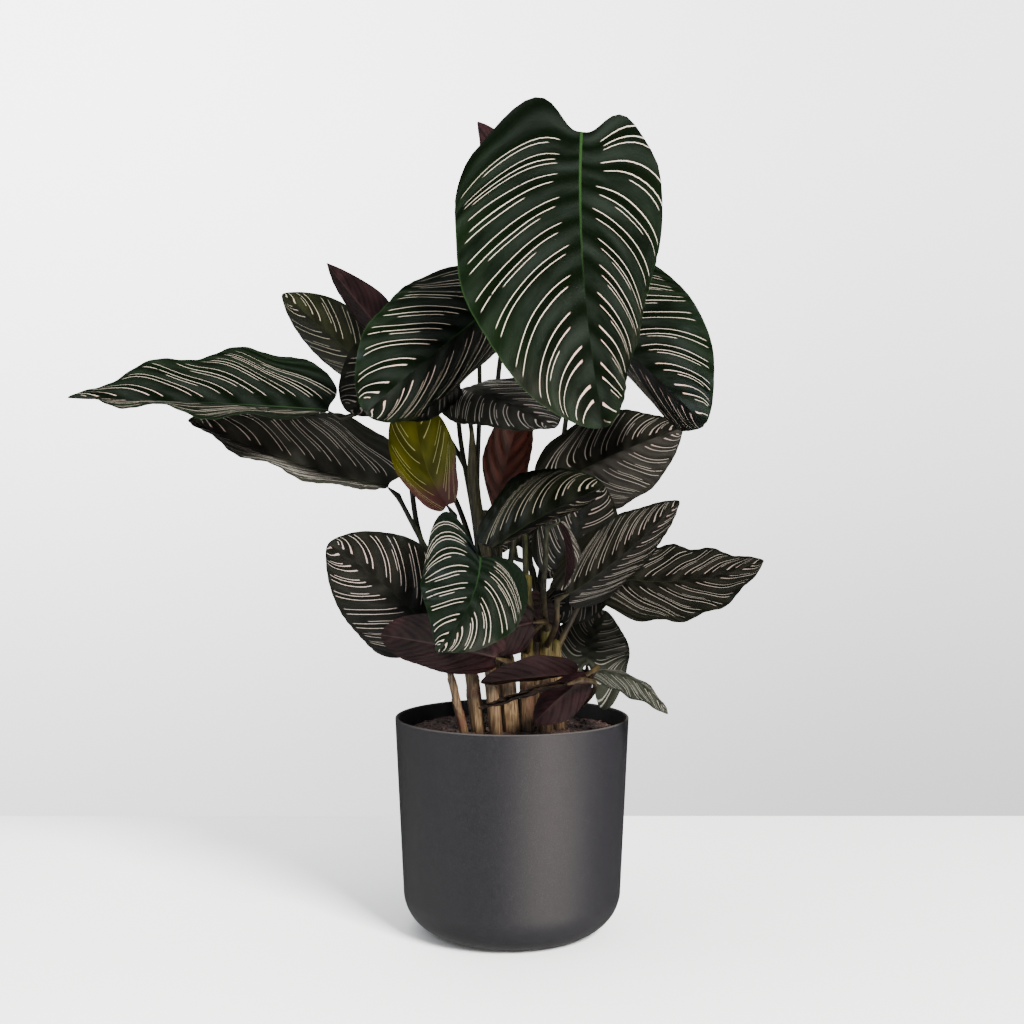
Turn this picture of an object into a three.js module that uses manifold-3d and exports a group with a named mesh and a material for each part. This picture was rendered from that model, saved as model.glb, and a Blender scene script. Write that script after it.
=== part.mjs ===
// Potted pinstripe calathea. Millimetres, +Z up, origin in the middle of the pot's foot.
import * as THREE from 'three';
import { mergeVertices } from 'three/addons/utils/BufferGeometryUtils.js';
import Module from 'manifold-3d';

const wasm = await Module();
wasm.setup();

// Pot
const POT_RIM_RADIUS = 110;
const POT_HEIGHT = 198;
const POT_FOOT_RADIUS = 100.3; // where the tapered wall, carried on down, meets the floor
const POT_FOOT_ROUND = 37;
const POT_WALL = 3;
const POT_FLOOR = 4;
const POT_SIDES = 30;

// Soil
const SOIL_TOP = 185;
const SOIL_CROWN = 3; // how far the middle stands above the edge
const SOIL_SHOULDER = 13; // radius of the worn edge, which leaves a dark gap at the wall
const SOIL_UNEVEN = 1.2;
const GAP = 0.4; // clearance between pieces that touch
const STALK_GAP = 0.25; // clearance between a stalk's end and its blade

// Shoots and the leaf stalks that grow from them
const SHOOT_SUNK = 18;
const SHOOT_SIDES = 8;
const SHEATH_FROM = 0.85; // share of the shoot's height at which its long sheath leaves it
const STALK_SIDES = 5;
const STALK_STEPS = 7;
const STALK_FOOT_RADIUS = 3;
const STALK_TOP_RADIUS = 2.1;
const STALK_END_RADIUS = 1; // where it meets the midrib
const STALK_STRAIGHT = 12; // the last stretch, which runs straight to the blade

// Blades
const BLADE_THICK = 0.8;
const SHOULDER_END = 0.3; // share of the blade by which its base has grown to full width
const VEIN_LEAN = 0.26; // how far a vein reaches forward by the margin, in blade lengths
const VEIN_BEND = 1.8;
const LEAN_FADE = 0.7; // how early the lean dies away towards the tip
const LOBE_FADE = 0.12;
const NOTCH_OPEN = 1.2; // how wide the notch between the lobes opens
const WAVE_REACH = 2.2; // the wave dies away from the margin towards the midrib
const WAVE_STOP = 0.25; // and over this share of the blade towards the tip
const WAVE_LAG = 0.35; // how far one margin's wave trails the other's, in turns

// Each shoot: its foot at the soil, its top and its radius at the foot. One sends up a long
// sheath as well, through these points and with this radius.
const shoots = {
  left: { foot: [-43, -42], top: [-58, -48, 252], radius: 4.5 },
  left_front: { foot: [-30, -36], top: [-46, -22, 300], radius: 7 },
  front: { foot: [-14, -46], top: [-24, -46, 290], radius: 6.5 },
  middle: {
    foot: [0, -34], top: [-12, -20, 330], radius: 7,
    sheath: { past: [[-26, -30, 365], [-35, -32, 415], [-37, -32, 468]], radius: 5.5 },
  },
  middle_right: { foot: [14, -28], top: [14, -12, 330], radius: 6 },
  right_front: { foot: [31, -26], top: [32, -24, 285], radius: 6.5 },
  right: { foot: [44, -14], top: [41, -8, 268], radius: 6.5 },
  back_left: { foot: [-12, 20], top: [-24, 28, 310], radius: 6.5 },
  back_right: { foot: [20, 26], top: [24, 36, 310], radius: 6.5 },
};

// Each blade: the midrib's two ends and the point it passes, which way the upper face looks at
// each end, the width when pressed flat, and its outline: the width at the base, how far down it
// stays wide, and how drawn out the tip is. Then, for its right and left side, how far the lobe
// reaches behind the stalk, the fold at the midrib and the further curl out to the margin, in
// degrees. An ear of 1 makes the lobes full and round instead of slender. A wave is its height,
// its number and its phase in turns. The stalk leaves its shoot at a share of the shoot's height,
// passes its points and arrives along the blade (0) or from straight beneath it (1).
const blades = {
  crown_front: {
    base: [62, -70, 729], via: [60, -135, 590], tip: [76, -150, 460],
    face: [[0, -0.87, 0.49], [0.62, -0.78, 0.1]], width: 216, outline: [1, 1.8, 0.8],
    lobes: [68, 60], fold: [-5, -15], curl: [-15, -40], wave: [3, 3, 0], rows: 14, cols: 5,
    shoot: 'middle', from: 0.7, past: [[9, 0, 421], [20, 8, 480], [46, 20, 620], [60, -14, 702]],
    arrive: 1,
  },
  crown_right: {
    base: [60, 60, 590], via: [110, -20, 537], tip: [169, -85, 467],
    face: [[-0.66, -0.69, 0.33], [-0.3, -0.75, 0.4]], width: 162, outline: [1, 1.2, 0.9],
    lobes: [-10, 50], fold: [-60, 0], curl: [-40, -12], wave: [3, 3, 0.2], rows: 12, cols: 4,
    shoot: 'middle_right', from: 0.8,
    past: [[12, 14, 400], [17, 24, 465], [42, 70, 530], [60, 84, 575]], arrive: 0.6,
  },
  crown_left: {
    base: [-6, -35, 588], via: [-66, -95, 530], tip: [-124, -128, 474],
    face: [[0.1, -0.75, 0.5], [0.1, -0.75, 0.5]], width: 140, outline: [1, 1.5, 0.8],
    lobes: [35, 30], fold: [5, -60], curl: [-10, -50], wave: [2.5, 3, 0.2], rows: 12, cols: 4,
    shoot: 'middle', from: 0.8, past: [[-14, 6, 420], [-14, 22, 510], [-8, -8, 572]],
    arrive: 1,
  },
  left_boat: {
    base: [-54, 22, 539], via: [-104, -9, 509], tip: [-151, -42, 482],
    face: [[-0.1, -0.6, 0.8], [-0.1, -0.6, 0.8]], width: 128, outline: [0.8, 1.5, 0.8],
    lobes: [15, -12], fold: [18, -5], curl: [15, 0], wave: [3, 2, 0.1], rows: 9, cols: 4,
    shoot: 'front', from: 0.85, past: [[-35, -12, 380], [-50, 0, 470]], arrive: 0.8,
  },
  left_long: {
    base: [-169, -30, 484], via: [-285, -42, 490], tip: [-401, -55, 493],
    face: [[0, -0.6, 0.8], [0, -0.55, 0.85]], width: 165, outline: [1, 1.2, 1.2],
    lobes: [18, 2], fold: [12, 26], curl: [-8, -5], wave: [5, 3, 0.1], rows: 13, cols: 4,
    shoot: 'left_front', from: 0.8,
    past: [[-86, -2, 364], [-96, 2, 420], [-101, 2, 462], [-128, -10, 484]], arrive: 0.4,
  },
  left_low: {
    base: [-116, -8, 414], via: [-206, -14, 437], tip: [-300, -25, 475],
    face: [[0.1, -0.35, 0.93], [0.1, -0.35, 0.93]], width: 140, outline: [1, 1.4, 1],
    lobes: [25, 2], fold: [30, 12], curl: [5, 0], wave: [3, 3, 0.3], rows: 12, cols: 4,
    shoot: 'left_front', from: 0.95, past: [[-80, -20, 356]], arrive: 0.4,
  },
  upper_left_small: {
    base: [-139, 70, 527], via: [-184, 70, 569], tip: [-229, 65, 607],
    face: [[-0.1, -0.95, 0.1], [-0.1, -0.95, 0.1]], width: 71, outline: [0.9, 1.4, 1],
    lobes: [10, 5], fold: [5, -35], curl: [0, -20], wave: [1.5, 2, 0], rows: 8, cols: 3,
    shoot: 'back_left', from: 0.9, past: [[-55, 54, 400], [-106, 74, 480]], arrive: 0.3,
  },
  upper_left_dark: {
    base: [-113, 48, 550], via: [-149, 42, 593], tip: [-180, 34, 632],
    face: [[0.3, 0.9, 0.3], [0.3, 0.9, 0.3]], width: 51, outline: [0.9, 1.2, 1.2],
    lobes: [10, 5], fold: [20, 10], curl: [30, 0], wave: [1, 2, 0], rows: 8, cols: 3,
    shoot: 'back_left', from: 0.95, past: [[-40, 40, 420], [-80, 50, 490]], arrive: 0.3,
  },
  under_crown: {
    base: [-40, 2, 509], via: [-2, -40, 489], tip: [38, -80, 464],
    face: [[0, -0.25, 0.95], [0, -0.25, 0.95]], width: 108, outline: [1, 1.4, 1],
    lobes: [5, 5], fold: [-5, 10], curl: [-20, 0], wave: [2, 2, 0], rows: 10, cols: 3,
    shoot: 'back_left', from: 0.98, past: [[-32, 24, 400], [-38, 26, 460]], arrive: 0.6,
  },
  right_upper: {
    base: [62, 55, 427], via: [110, 68, 451], tip: [172, 80, 475],
    face: [[-0.1, -0.85, 0.5], [-0.1, -0.85, 0.5]], width: 102, outline: [1, 1.4, 1],
    lobes: [30, 40], fold: [-35, 5], curl: [-10, -10], wave: [2, 3, 0], rows: 10, cols: 4,
    shoot: 'back_right', from: 0.9, past: [[40, 50, 375]], arrive: 0.5,
  },
  front_rolled: {
    base: [-16, -122, 360], via: [32, -118, 390], tip: [80, -108, 412],
    face: [[-0.3, -0.95, 0], [-0.3, -0.9, 0.3]], width: 112, outline: [0.6, 1.4, 0.9],
    lobes: [-4, 14], fold: [-85, 0], curl: [-30, -45], wave: [1.5, 2, 0], rows: 10, cols: 4,
    shoot: 'front', from: 0.97, past: [[-16, -60, 340], [-18, -88, 362]], arrive: 0.8,
  },
  front_heart: {
    base: [-27, -112, 351], via: [-36, -138, 312], tip: [-62, -158, 275],
    face: [[0, -0.75, 0.65], [0, -0.95, 0.3]], width: 100, outline: [1, 1, 1.1],
    lobes: [58, 8], ear: 1, fold: [0, -10], curl: [-20, -38], wave: [2, 3, 0], rows: 11, cols: 4,
    shoot: 'front', from: 0.9, past: [[-28, -66, 316]], arrive: 0.7,
  },
  lower_left: {
    base: [-67, -56, 277], via: [-117, -50, 325], tip: [-168, -42, 361],
    face: [[0.1, -0.95, 0.25], [0.1, -0.95, 0.25]], width: 106, outline: [1, 1.4, 0.9],
    lobes: [25, 8], fold: [0, 0], curl: [-5, -45], wave: [2, 3, 0.5], rows: 10, cols: 4,
    shoot: 'left', from: 0.8, past: [], arrive: 0.3,
  },
  lower_purple: {
    base: [-15, -70, 261], via: [-65, -88, 274], tip: [-114, -95, 283],
    face: [[0, 0.9, 0.4], [0, 0.9, 0.4]], width: 60, outline: [1, 1.6, 0.7],
    lobes: [12, 12], fold: [5, 5], curl: [10, 10], wave: [1.5, 2, 0], rows: 10, cols: 3,
    shoot: 'front', from: 0.5, past: [[-8, -60, 250]], arrive: 0.1,
  },
  lower_right: {
    base: [88, 0, 330], via: [165, 5, 325], tip: [239, 5, 344],
    face: [[0, -0.65, 0.75], [0, -0.65, 0.75]], width: 98, outline: [1, 1.3, 1.15],
    lobes: [25, 25], fold: [0, 5], curl: [-10, -5], wave: [3, 4, 0], rows: 12, cols: 4,
    shoot: 'right', from: 0.9, past: [[62, -2, 300]], arrive: 0.3,
  },
  right_front: {
    base: [51, -72, 317], via: [100, -60, 352], tip: [153, -42, 400],
    face: [[-0.2, -0.8, 0.5], [-0.2, -0.8, 0.5]], width: 82, outline: [1, 1.3, 1],
    lobes: [10, 15], fold: [-80, 5], curl: [-10, -10], wave: [1.5, 3, 0], rows: 11, cols: 4,
    shoot: 'right_front', from: 0.8, past: [[40, -56, 290]], arrive: 0.3,
  },
  right_inner: {
    base: [45, -8, 335], via: [62, -4, 375], tip: [84, 2, 418],
    face: [[-0.3, -0.9, 0.2], [-0.3, -0.9, 0.2]], width: 84, outline: [1, 1.4, 0.9],
    lobes: [12, 12], fold: [-5, -5], curl: [-10, -10], wave: [1.5, 2, 0], rows: 9, cols: 3,
    shoot: 'back_right', from: 0.9, past: [], arrive: 0.3,
  },
  right_low_inner: {
    base: [80, 30, 338], via: [62, 24, 312], tip: [38, 20, 286],
    face: [[0, -0.8, 0.6], [0, -0.8, 0.6]], width: 62, outline: [1, 1.4, 0.9],
    lobes: [12, 12], fold: [-5, -5], curl: [-10, -10], wave: [1.5, 2, 0], rows: 8, cols: 3,
    shoot: 'back_right', from: 0.8, past: [[56, 48, 318]], arrive: 0.9,
  },
  low_round: {
    base: [72, 22, 243], via: [79, 40, 268], tip: [94, 55, 292],
    face: [[-0.1, -0.85, 0.5], [-0.1, -0.85, 0.5]], width: 80, outline: [1, 1.4, 0.9],
    lobes: [52, 48], fold: [-5, -5], curl: [-15, -15], wave: [1.5, 2, 0], rows: 10, cols: 4,
    shoot: 'back_right', from: 0.15, past: [[46, 40, 218], [62, 46, 234]], arrive: 0.9,
  },
  low_curled: {
    base: [70, -54, 246], via: [109, -66, 240], tip: [138, -76, 211],
    face: [[0.1, -0.35, 0.93], [0.3, -0.35, 0.93]], width: 38, outline: [0.8, 1.4, 1],
    lobes: [5, 5], fold: [-15, -10], curl: [-40, -20], wave: [1.5, 3, 0], rows: 10, cols: 3,
    shoot: 'right', from: 0.5, past: [[60, -34, 242]], arrive: 0.2,
  },
  low_dark: {
    base: [58, -42, 243], via: [20, -60, 242], tip: [-28, -70, 238],
    face: [[0, 0.75, 0.65], [0, 0.75, 0.65]], width: 40, outline: [0.9, 1.4, 0.9],
    lobes: [6, 6], fold: [20, 20], curl: [20, 20], wave: [1, 2, 0], rows: 8, cols: 3,
    shoot: 'right', from: 0.3, past: [[58, -26, 234]], arrive: 0.4,
  },
  low_purple: {
    base: [66, -76, 244], via: [42, -84, 226], tip: [20, -86, 205],
    face: [[0.3, 0.85, -0.3], [0.3, 0.85, -0.3]], width: 40, outline: [0.8, 1.6, 0.8],
    lobes: [5, 5], fold: [15, 15], curl: [15, 15], wave: [1, 2, 0], rows: 8, cols: 3,
    shoot: 'right', from: 0.2, past: [[60, -32, 224], [66, -62, 235]], arrive: 0.1,
  },
  withered: {
    base: [48, -96, 241], via: [10, -99, 230], tip: [-29, -100, 220],
    face: [[0.2, -0.5, 0.8], [0.5, -0.8, 0.2]], width: 18, outline: [0.7, 1.3, 1],
    lobes: [2, 2], fold: [50, 50], curl: [60, 60], wave: [0.8, 3, 0], rows: 9, cols: 3,
    shoot: 'right', from: 0.12, past: [[68, -40, 218], [72, -84, 240]], arrive: 0,
  },
  yellow: {
    base: [-60, -22, 396], via: [-82, -24, 440], tip: [-90, -16, 490],
    face: [[-0.1, -0.9, 0.3], [-0.1, -0.9, 0.3]], width: 68, outline: [0.7, 2, 0.7],
    lobes: [6, 6], fold: [15, 15], curl: [15, 40], wave: [1, 2, 0], rows: 10, cols: 4,
    shoot: 'left_front', from: 0.95, past: [[-52, -24, 350]], arrive: 0.1,
  },
  spear: {
    base: [-16, -14, 390], via: [-5, -10, 436], tip: [8, -4, 484],
    face: [[0, -0.9, 0.2], [0, -0.9, 0.2]], width: 64, outline: [0.3, 1.6, 0.8],
    lobes: [2, 2], fold: [20, 20], curl: [50, 50], wave: [0.5, 2, 0], rows: 10, cols: 3,
    shoot: 'middle', from: 0.9, past: [], arrive: 0,
  },
  narrow_dark: {
    base: [41, -118, 381], via: [47, -116, 352], tip: [43, -112, 322],
    face: [[0.9, -0.3, 0.2], [0.9, -0.3, 0.2]], width: 26, outline: [0.7, 1.4, 1],
    lobes: [3, 3], fold: [40, 40], curl: [20, 20], wave: [0.8, 2, 0], rows: 9, cols: 2,
    shoot: 'right_front', from: 0.95, past: [[28, -72, 316], [29, -102, 350]], arrive: 1,
  },
  inner_left_dark: {
    base: [18, -52, 290], via: [-6, -62, 284], tip: [-32, -66, 272],
    face: [[0.2, 0.9, 0.1], [0.2, 0.9, 0.1]], width: 50, outline: [1, 1.4, 0.9],
    lobes: [6, 6], fold: [5, 5], curl: [10, 10], wave: [1, 2, 0], rows: 8, cols: 3,
    shoot: 'middle_right', from: 0.5, past: [[16, -36, 275]], arrive: 0.1,
  },
  inner_right_dark: {
    base: [8, 6, 302], via: [24, 8, 288], tip: [40, 8, 266],
    face: [[-0.2, 0.9, 0.2], [-0.2, 0.9, 0.2]], width: 44, outline: [1, 1.4, 0.9],
    lobes: [6, 6], fold: [5, 5], curl: [10, 10], wave: [1, 2, 0], rows: 8, cols: 3,
    shoot: 'middle', from: 0.6, past: [[-3, -8, 288]], arrive: 0.1,
  },
  back_crown: {
    base: [44, 36, 560], via: [8, 40, 690], tip: [-34, 50, 774],
    face: [[0.2, 0.9, 0.3], [0.2, 0.9, 0.3]], width: 82, outline: [1, 1.3, 1.1],
    lobes: [12, 12], fold: [8, 8], curl: [0, 0], wave: [2, 3, 0], rows: 10, cols: 3,
    shoot: 'back_right', from: 0.98, past: [[9, 44, 400], [10, 46, 470], [30, 36, 530]],
    arrive: 0.1,
  },
  back_right: {
    base: [70, 95, 640], via: [90, 155, 610], tip: [105, 195, 520],
    face: [[0.2, 0.5, 0.8], [0.3, 0.8, 0.3]], width: 115, outline: [1, 1.4, 0.9],
    lobes: [22, 22], fold: [5, 5], curl: [-10, -10], wave: [3, 3, 0], rows: 8, cols: 3,
    shoot: 'back_right', from: 0.95, past: [[36, 56, 375], [50, 90, 450], [64, 102, 560]],
    arrive: 0.5,
  },
  back_left: {
    base: [-35, 60, 560], via: [-85, 115, 550], tip: [-130, 150, 490],
    face: [[-0.3, 0.4, 0.8], [-0.5, 0.7, 0.5]], width: 110, outline: [1, 1.4, 0.9],
    lobes: [20, 20], fold: [5, 5], curl: [-10, -10], wave: [3, 3, 0], rows: 8, cols: 3,
    shoot: 'back_left', from: 0.85, past: [[-34, 52, 400], [-32, 58, 500]], arrive: 0.6,
  },
  back_low_right: {
    base: [52, 76, 326], via: [98, 124, 350], tip: [124, 170, 330],
    face: [[0.1, 0, 1], [0.5, 0.5, 0.7]], width: 95, outline: [1, 1.4, 0.9],
    lobes: [18, 18], fold: [5, 5], curl: [-10, -10], wave: [2, 3, 0], rows: 8, cols: 3,
    shoot: 'back_right', from: 0.6, past: [[36, 58, 296]], arrive: 0.4,
  },
  back_low_left: {
    base: [-35, 55, 300], via: [-75, 105, 325], tip: [-105, 150, 305],
    face: [[-0.1, 0, 1], [-0.5, 0.5, 0.7]], width: 95, outline: [1, 1.4, 0.9],
    lobes: [18, 18], fold: [5, 5], curl: [-10, -10], wave: [2, 3, 0], rows: 8, cols: 3,
    shoot: 'back_left', from: 0.5, past: [[-28, 45, 275]], arrive: 0.4,
  },
  back_mid: {
    base: [4, 84, 356], via: [6, 140, 390], tip: [8, 190, 368],
    face: [[0, 0, 1], [0, 0.6, 0.8]], width: 84, outline: [1, 1.4, 0.9],
    lobes: [18, 18], fold: [5, 5], curl: [-10, -10], wave: [2, 3, 0], rows: 8, cols: 3,
    shoot: 'back_right', from: 0.85, past: [[20, 52, 335]], arrive: 0.4,
  },
};

// Surface colours, roughness and metalness
const looks = {
  pot: { color: 0x3b3b3c, roughness: 0.42, metalness: 0.3 },
  soil: { color: 0x33241f, roughness: 0.95, metalness: 0 },
  shoot: { color: 0x7d6b45, roughness: 0.6, metalness: 0 },
  leaf: { color: 0x16281d, roughness: 0.35, metalness: 0 },
  dark: { color: 0x2c1420, roughness: 0.5, metalness: 0 },
  yellow: { color: 0x8a8f2c, roughness: 0.45, metalness: 0 },
  red: { color: 0x5c2a22, roughness: 0.5, metalness: 0 },
  withered: { color: 0x3a2a1d, roughness: 0.8, metalness: 0 },
};
const otherLooks = {
  upper_left_dark: 'dark',
  lower_purple: 'dark',
  low_dark: 'dark',
  low_purple: 'dark',
  narrow_dark: 'dark',
  inner_left_dark: 'dark',
  inner_right_dark: 'dark',
  yellow: 'yellow',
  spear: 'red',
  withered: 'withered',
};

const { degToRad, lerp, clamp } = THREE.MathUtils;
const vector = (list) => new THREE.Vector3(...list);
const mix = (ends, share) => vector(ends[0]).lerp(vector(ends[1]), share);

function closedGeometry(positions, triangles) {
  const geometry = new THREE.BufferGeometry();
  geometry.setAttribute('position', new THREE.Float32BufferAttribute(positions, 3));
  geometry.setIndex(triangles);
  return geometry;
}

function toSolid(geometry) {
  geometry.deleteAttribute('normal');
  geometry.deleteAttribute('uv');
  const merged = mergeVertices(geometry, 1e-3);
  return new wasm.Manifold(new wasm.Mesh({
    numProp: 3,
    vertProperties: new Float32Array(merged.attributes.position.array),
    triVerts: new Uint32Array(merged.index.array),
  }));
}

function fromSolid(solid) {
  const mesh = solid.getMesh();
  return closedGeometry(Array.from(mesh.vertProperties), Array.from(mesh.triVerts));
}

// ---- Pot and soil ----

const potRadius = (height) => lerp(POT_FOOT_RADIUS, POT_RIM_RADIUS, height / POT_HEIGHT);

// A quarter round from the floor up to the wall, set in from the pot's outside.
function footRound(inset, floor, steps) {
  const radius = POT_FOOT_ROUND - inset;
  const centre = potRadius(POT_FOOT_ROUND) - POT_FOOT_ROUND;
  return Array.from({ length: steps + 1 }, (_, step) => {
    const angle = (Math.PI / 2) * (step / steps);
    return [centre + radius * Math.sin(angle), floor + radius * (1 - Math.cos(angle))];
  });
}

function lathe(profile) {
  const points = profile.map(([radius, height]) => new THREE.Vector2(radius, height));
  return new THREE.LatheGeometry(points, POT_SIDES).rotateX(Math.PI / 2);
}

function potGeometry() {
  const lip = POT_WALL / 2;
  const rim = [0, 1, 2, 3, 4].map((step) => {
    const angle = (Math.PI / 4) * step;
    const middle = POT_RIM_RADIUS - lip;
    return [middle + lip * Math.cos(angle), POT_HEIGHT - lip + lip * Math.sin(angle)];
  });
  const inside = footRound(POT_WALL, POT_FLOOR, 4).reverse();
  return lathe([[0, 0], ...footRound(0, 0, 6), ...rim, ...inside, [0, POT_FLOOR]]);
}

// The soil fills the pot and is worn down round its edge; its face is a little uneven.
function soilSolid() {
  const inset = POT_WALL + GAP;
  const edge = SOIL_TOP - SOIL_SHOULDER;
  const outside = potRadius(edge) - inset;
  const shoulder = [0, 1, 2, 3].map((step) => {
    const angle = (Math.PI / 6) * step;
    const out = outside - SOIL_SHOULDER * (1 - Math.cos(angle));
    return [out, edge + SOIL_SHOULDER * Math.sin(angle)];
  });
  const face = [0.65, 0.35].map((share) => {
    return [share * outside, SOIL_TOP + SOIL_CROWN * (1 - share * share)];
  });
  const floor = POT_FLOOR + GAP;
  const top = [0, SOIL_TOP + SOIL_CROWN];
  const geometry = lathe([[0, floor], ...footRound(inset, floor, 4), ...shoulder, ...face, top]);
  const places = geometry.attributes.position;
  for (let index = 0; index < places.count; index += 1) {
    const [x, y, z] = [places.getX(index), places.getY(index), places.getZ(index)];
    if (z > SOIL_TOP - 1) {
      const bump = Math.sin(0.09 * x + 1) * Math.cos(0.11 * y + 0.4) + 0.5 * Math.sin(0.21 * (x - y));
      places.setZ(index, z + SOIL_UNEVEN * bump);
    }
  }
  return toSolid(geometry);
}

// ---- Blades ----

// Half the width where the vein that leaves the midrib at share u ends, as a share of the most.
function widthShare([shoulder, bulge, point], u) {
  const rise = 1 - (1 - shoulder) * Math.max(0, 1 - u / SHOULDER_END) ** 2;
  return rise * Math.cos((Math.PI / 2) * u ** bulge) ** point;
}

// Where a flat blade's point lies: along the midrib and out from it, for vein u and share v of
// the way to the margin. The lowest vein runs back round the lobe, and the next ones follow it
// less and less.
function flatPoint(blade, length, side, u, v) {
  const turn = Math.PI * v;
  const lobe = Math.exp(-u / LOBE_FADE);
  const ear = blade.ear ?? 0;
  const arch = Math.sin(turn) ** (1 + (1 - ear) * NOTCH_OPEN * (1 - v) ** 2);
  const lean = VEIN_LEAN * (1 - u) ** LEAN_FADE * v ** VEIN_BEND;
  const slender = v * ((1 - Math.cos(turn)) / 2 - v);
  const reach = v + lobe * lerp(slender, Math.sin(turn / 2) - v, ear);
  return {
    along: length * (u + lean) - blade.lobes[side] * lobe * arch,
    out: (blade.width / 2) * widthShare(blade.outline, u) * reach,
  };
}

// A bent cross-section: the slope starts at the fold and grows evenly by the curl out to the
// margin. Gives how far sideways and how far up a point of the flat half blade goes.
function crossSection(out, halfWidth, fold, curl) {
  const start = degToRad(fold);
  const bend = degToRad(Math.abs(curl) < 0.5 ? 0.5 : curl) / halfWidth;
  return {
    sideways: (Math.sin(start + bend * out) - Math.sin(start)) / bend,
    up: (Math.cos(start) - Math.cos(start + bend * out)) / bend,
  };
}

// The midrib as an even-paced curve, carried straight on behind the stalk for the lobes.
function midrib(blade) {
  const [base, via, tip] = [vector(blade.base), vector(blade.via), vector(blade.tip)];
  const control = via.clone().multiplyScalar(2).sub(base.clone().add(tip).multiplyScalar(0.5));
  const curve = new THREE.QuadraticBezierCurve3(base, control, tip);
  const length = curve.getLength();
  const frame = (along) => {
    const share = clamp(along / length, 0, 1);
    const ahead = curve.getTangentAt(share);
    const place = curve.getPointAt(share);
    if (along < 0) {
      place.addScaledVector(ahead, along);
    }
    const right = ahead.clone().cross(mix(blade.face, share)).normalize();
    return { place, ahead, right, up: right.clone().cross(ahead) };
  };
  return { length, frame };
}

function bladePoint(blade, rib, u, signed) {
  const v = Math.abs(signed);
  const side = signed < 0 ? 1 : 0;
  const flat = flatPoint(blade, rib.length, side, u, v);
  const bent = crossSection(flat.out, blade.width / 2, blade.fold[side], blade.curl[side]);
  const [height, count, phase] = blade.wave;
  const fade = v ** WAVE_REACH * Math.min(1, (1 - u) / WAVE_STOP);
  const turns = (count * flat.along) / rib.length + phase + WAVE_LAG * side;
  const { place, right, up } = rib.frame(flat.along);
  return place.clone()
    .addScaledVector(right, (side ? -1 : 1) * bent.sideways)
    .addScaledVector(up, bent.up + height * fade * Math.sin(2 * Math.PI * turns));
}

// The grid of triangles that both faces share: rows along the midrib, and one point at the tip.
function bladeFaces(rows, cols) {
  const across = 2 * cols + 1;
  const faces = [];
  for (let row = 0; row < rows - 1; row += 1) {
    for (let col = 0; col < across - 1; col += 1) {
      const near = row * across + col;
      const far = near + across;
      if (col < cols) {
        faces.push([near, near + 1, far], [near + 1, far + 1, far]);
      } else {
        faces.push([near, near + 1, far + 1], [near, far + 1, far]);
      }
    }
  }
  const last = (rows - 1) * across;
  for (let col = 0; col < across - 1; col += 1) {
    faces.push([last + col, last + col + 1, rows * across]);
  }
  return faces;
}

// The grid's outer points in order, round the whole margin.
function bladeMargin(rows, cols) {
  const across = 2 * cols + 1;
  const margin = [];
  for (let col = across - 1; col > 0; col -= 1) {
    margin.push(col);
  }
  for (let row = 0; row < rows; row += 1) {
    margin.push(row * across);
  }
  margin.push(rows * across);
  for (let row = rows - 1; row > 0; row -= 1) {
    margin.push(row * across + across - 1);
  }
  return margin;
}

// A closed thin solid: the sheet moved out by half its thickness each way, joined at the margin.
function bladeGeometry(blade) {
  const rib = midrib(blade);
  const { rows, cols } = blade;
  const sheet = [];
  for (let row = 0; row < rows; row += 1) {
    for (let col = -cols; col <= cols; col += 1) {
      sheet.push(bladePoint(blade, rib, row / rows, col / cols));
    }
  }
  sheet.push(vector(blade.tip));

  const faces = bladeFaces(rows, cols);
  const normals = sheet.map(() => new THREE.Vector3());
  for (const corners of faces) {
    const [a, b, c] = corners.map((corner) => sheet[corner]);
    const normal = b.clone().sub(a).cross(c.clone().sub(a));
    corners.forEach((corner) => normals[corner].add(normal));
  }

  const positions = [];
  for (const shift of [BLADE_THICK / 2, -BLADE_THICK / 2]) {
    sheet.forEach((point, index) => {
      const moved = point.clone().addScaledVector(normals[index].clone().normalize(), shift);
      positions.push(...moved.toArray());
    });
  }
  const under = sheet.length;
  const triangles = faces.flatMap(([a, b, c]) => [a, b, c, a + under, c + under, b + under]);
  const margin = bladeMargin(rows, cols);
  margin.forEach((from, index) => {
    const to = margin[(index + 1) % margin.length];
    triangles.push(from, to, to + under, from, to + under, from + under);
  });
  return closedGeometry(positions, triangles);
}

// ---- Shoots and stalks ----

// A closed round rod through the points, with a radius at each.
function rodGeometry(points, radii, sides) {
  const positions = [];
  const triangles = [];
  let across = new THREE.Vector3(1, 0, 0);
  points.forEach((point, index) => {
    const before = points[Math.max(0, index - 1)];
    const after = points[Math.min(points.length - 1, index + 1)];
    const ahead = after.clone().sub(before).normalize();
    across = across.clone().addScaledVector(ahead, -across.dot(ahead)).normalize();
    const other = ahead.clone().cross(across);
    for (let side = 0; side < sides; side += 1) {
      const angle = (2 * Math.PI * side) / sides;
      const place = point.clone()
        .addScaledVector(across, radii[index] * Math.cos(angle))
        .addScaledVector(other, radii[index] * Math.sin(angle));
      positions.push(...place.toArray());
    }
  });
  const rings = points.length;
  for (let side = 0; side < sides; side += 1) {
    const next = (side + 1) % sides;
    for (let ring = 0; ring < rings - 1; ring += 1) {
      const [low, high] = [ring * sides, (ring + 1) * sides];
      triangles.push(low + side, low + next, high + next, low + side, high + next, high + side);
    }
    const end = (rings - 1) * sides;
    if (side > 0 && side < sides - 1) {
      triangles.push(0, next, side, end, end + side, end + next);
    }
  }
  return closedGeometry(positions, triangles);
}

// The shoot's line, from below the soil to its top.
function shootLine(shoot) {
  const foot = new THREE.Vector3(...shoot.foot, SOIL_TOP);
  const top = vector(shoot.top);
  const sunk = foot.clone().setZ(SOIL_TOP - SHOOT_SUNK);
  return (share) => (share < 0 ? foot.clone().lerp(sunk, -share) : foot.clone().lerp(top, share));
}

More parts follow.
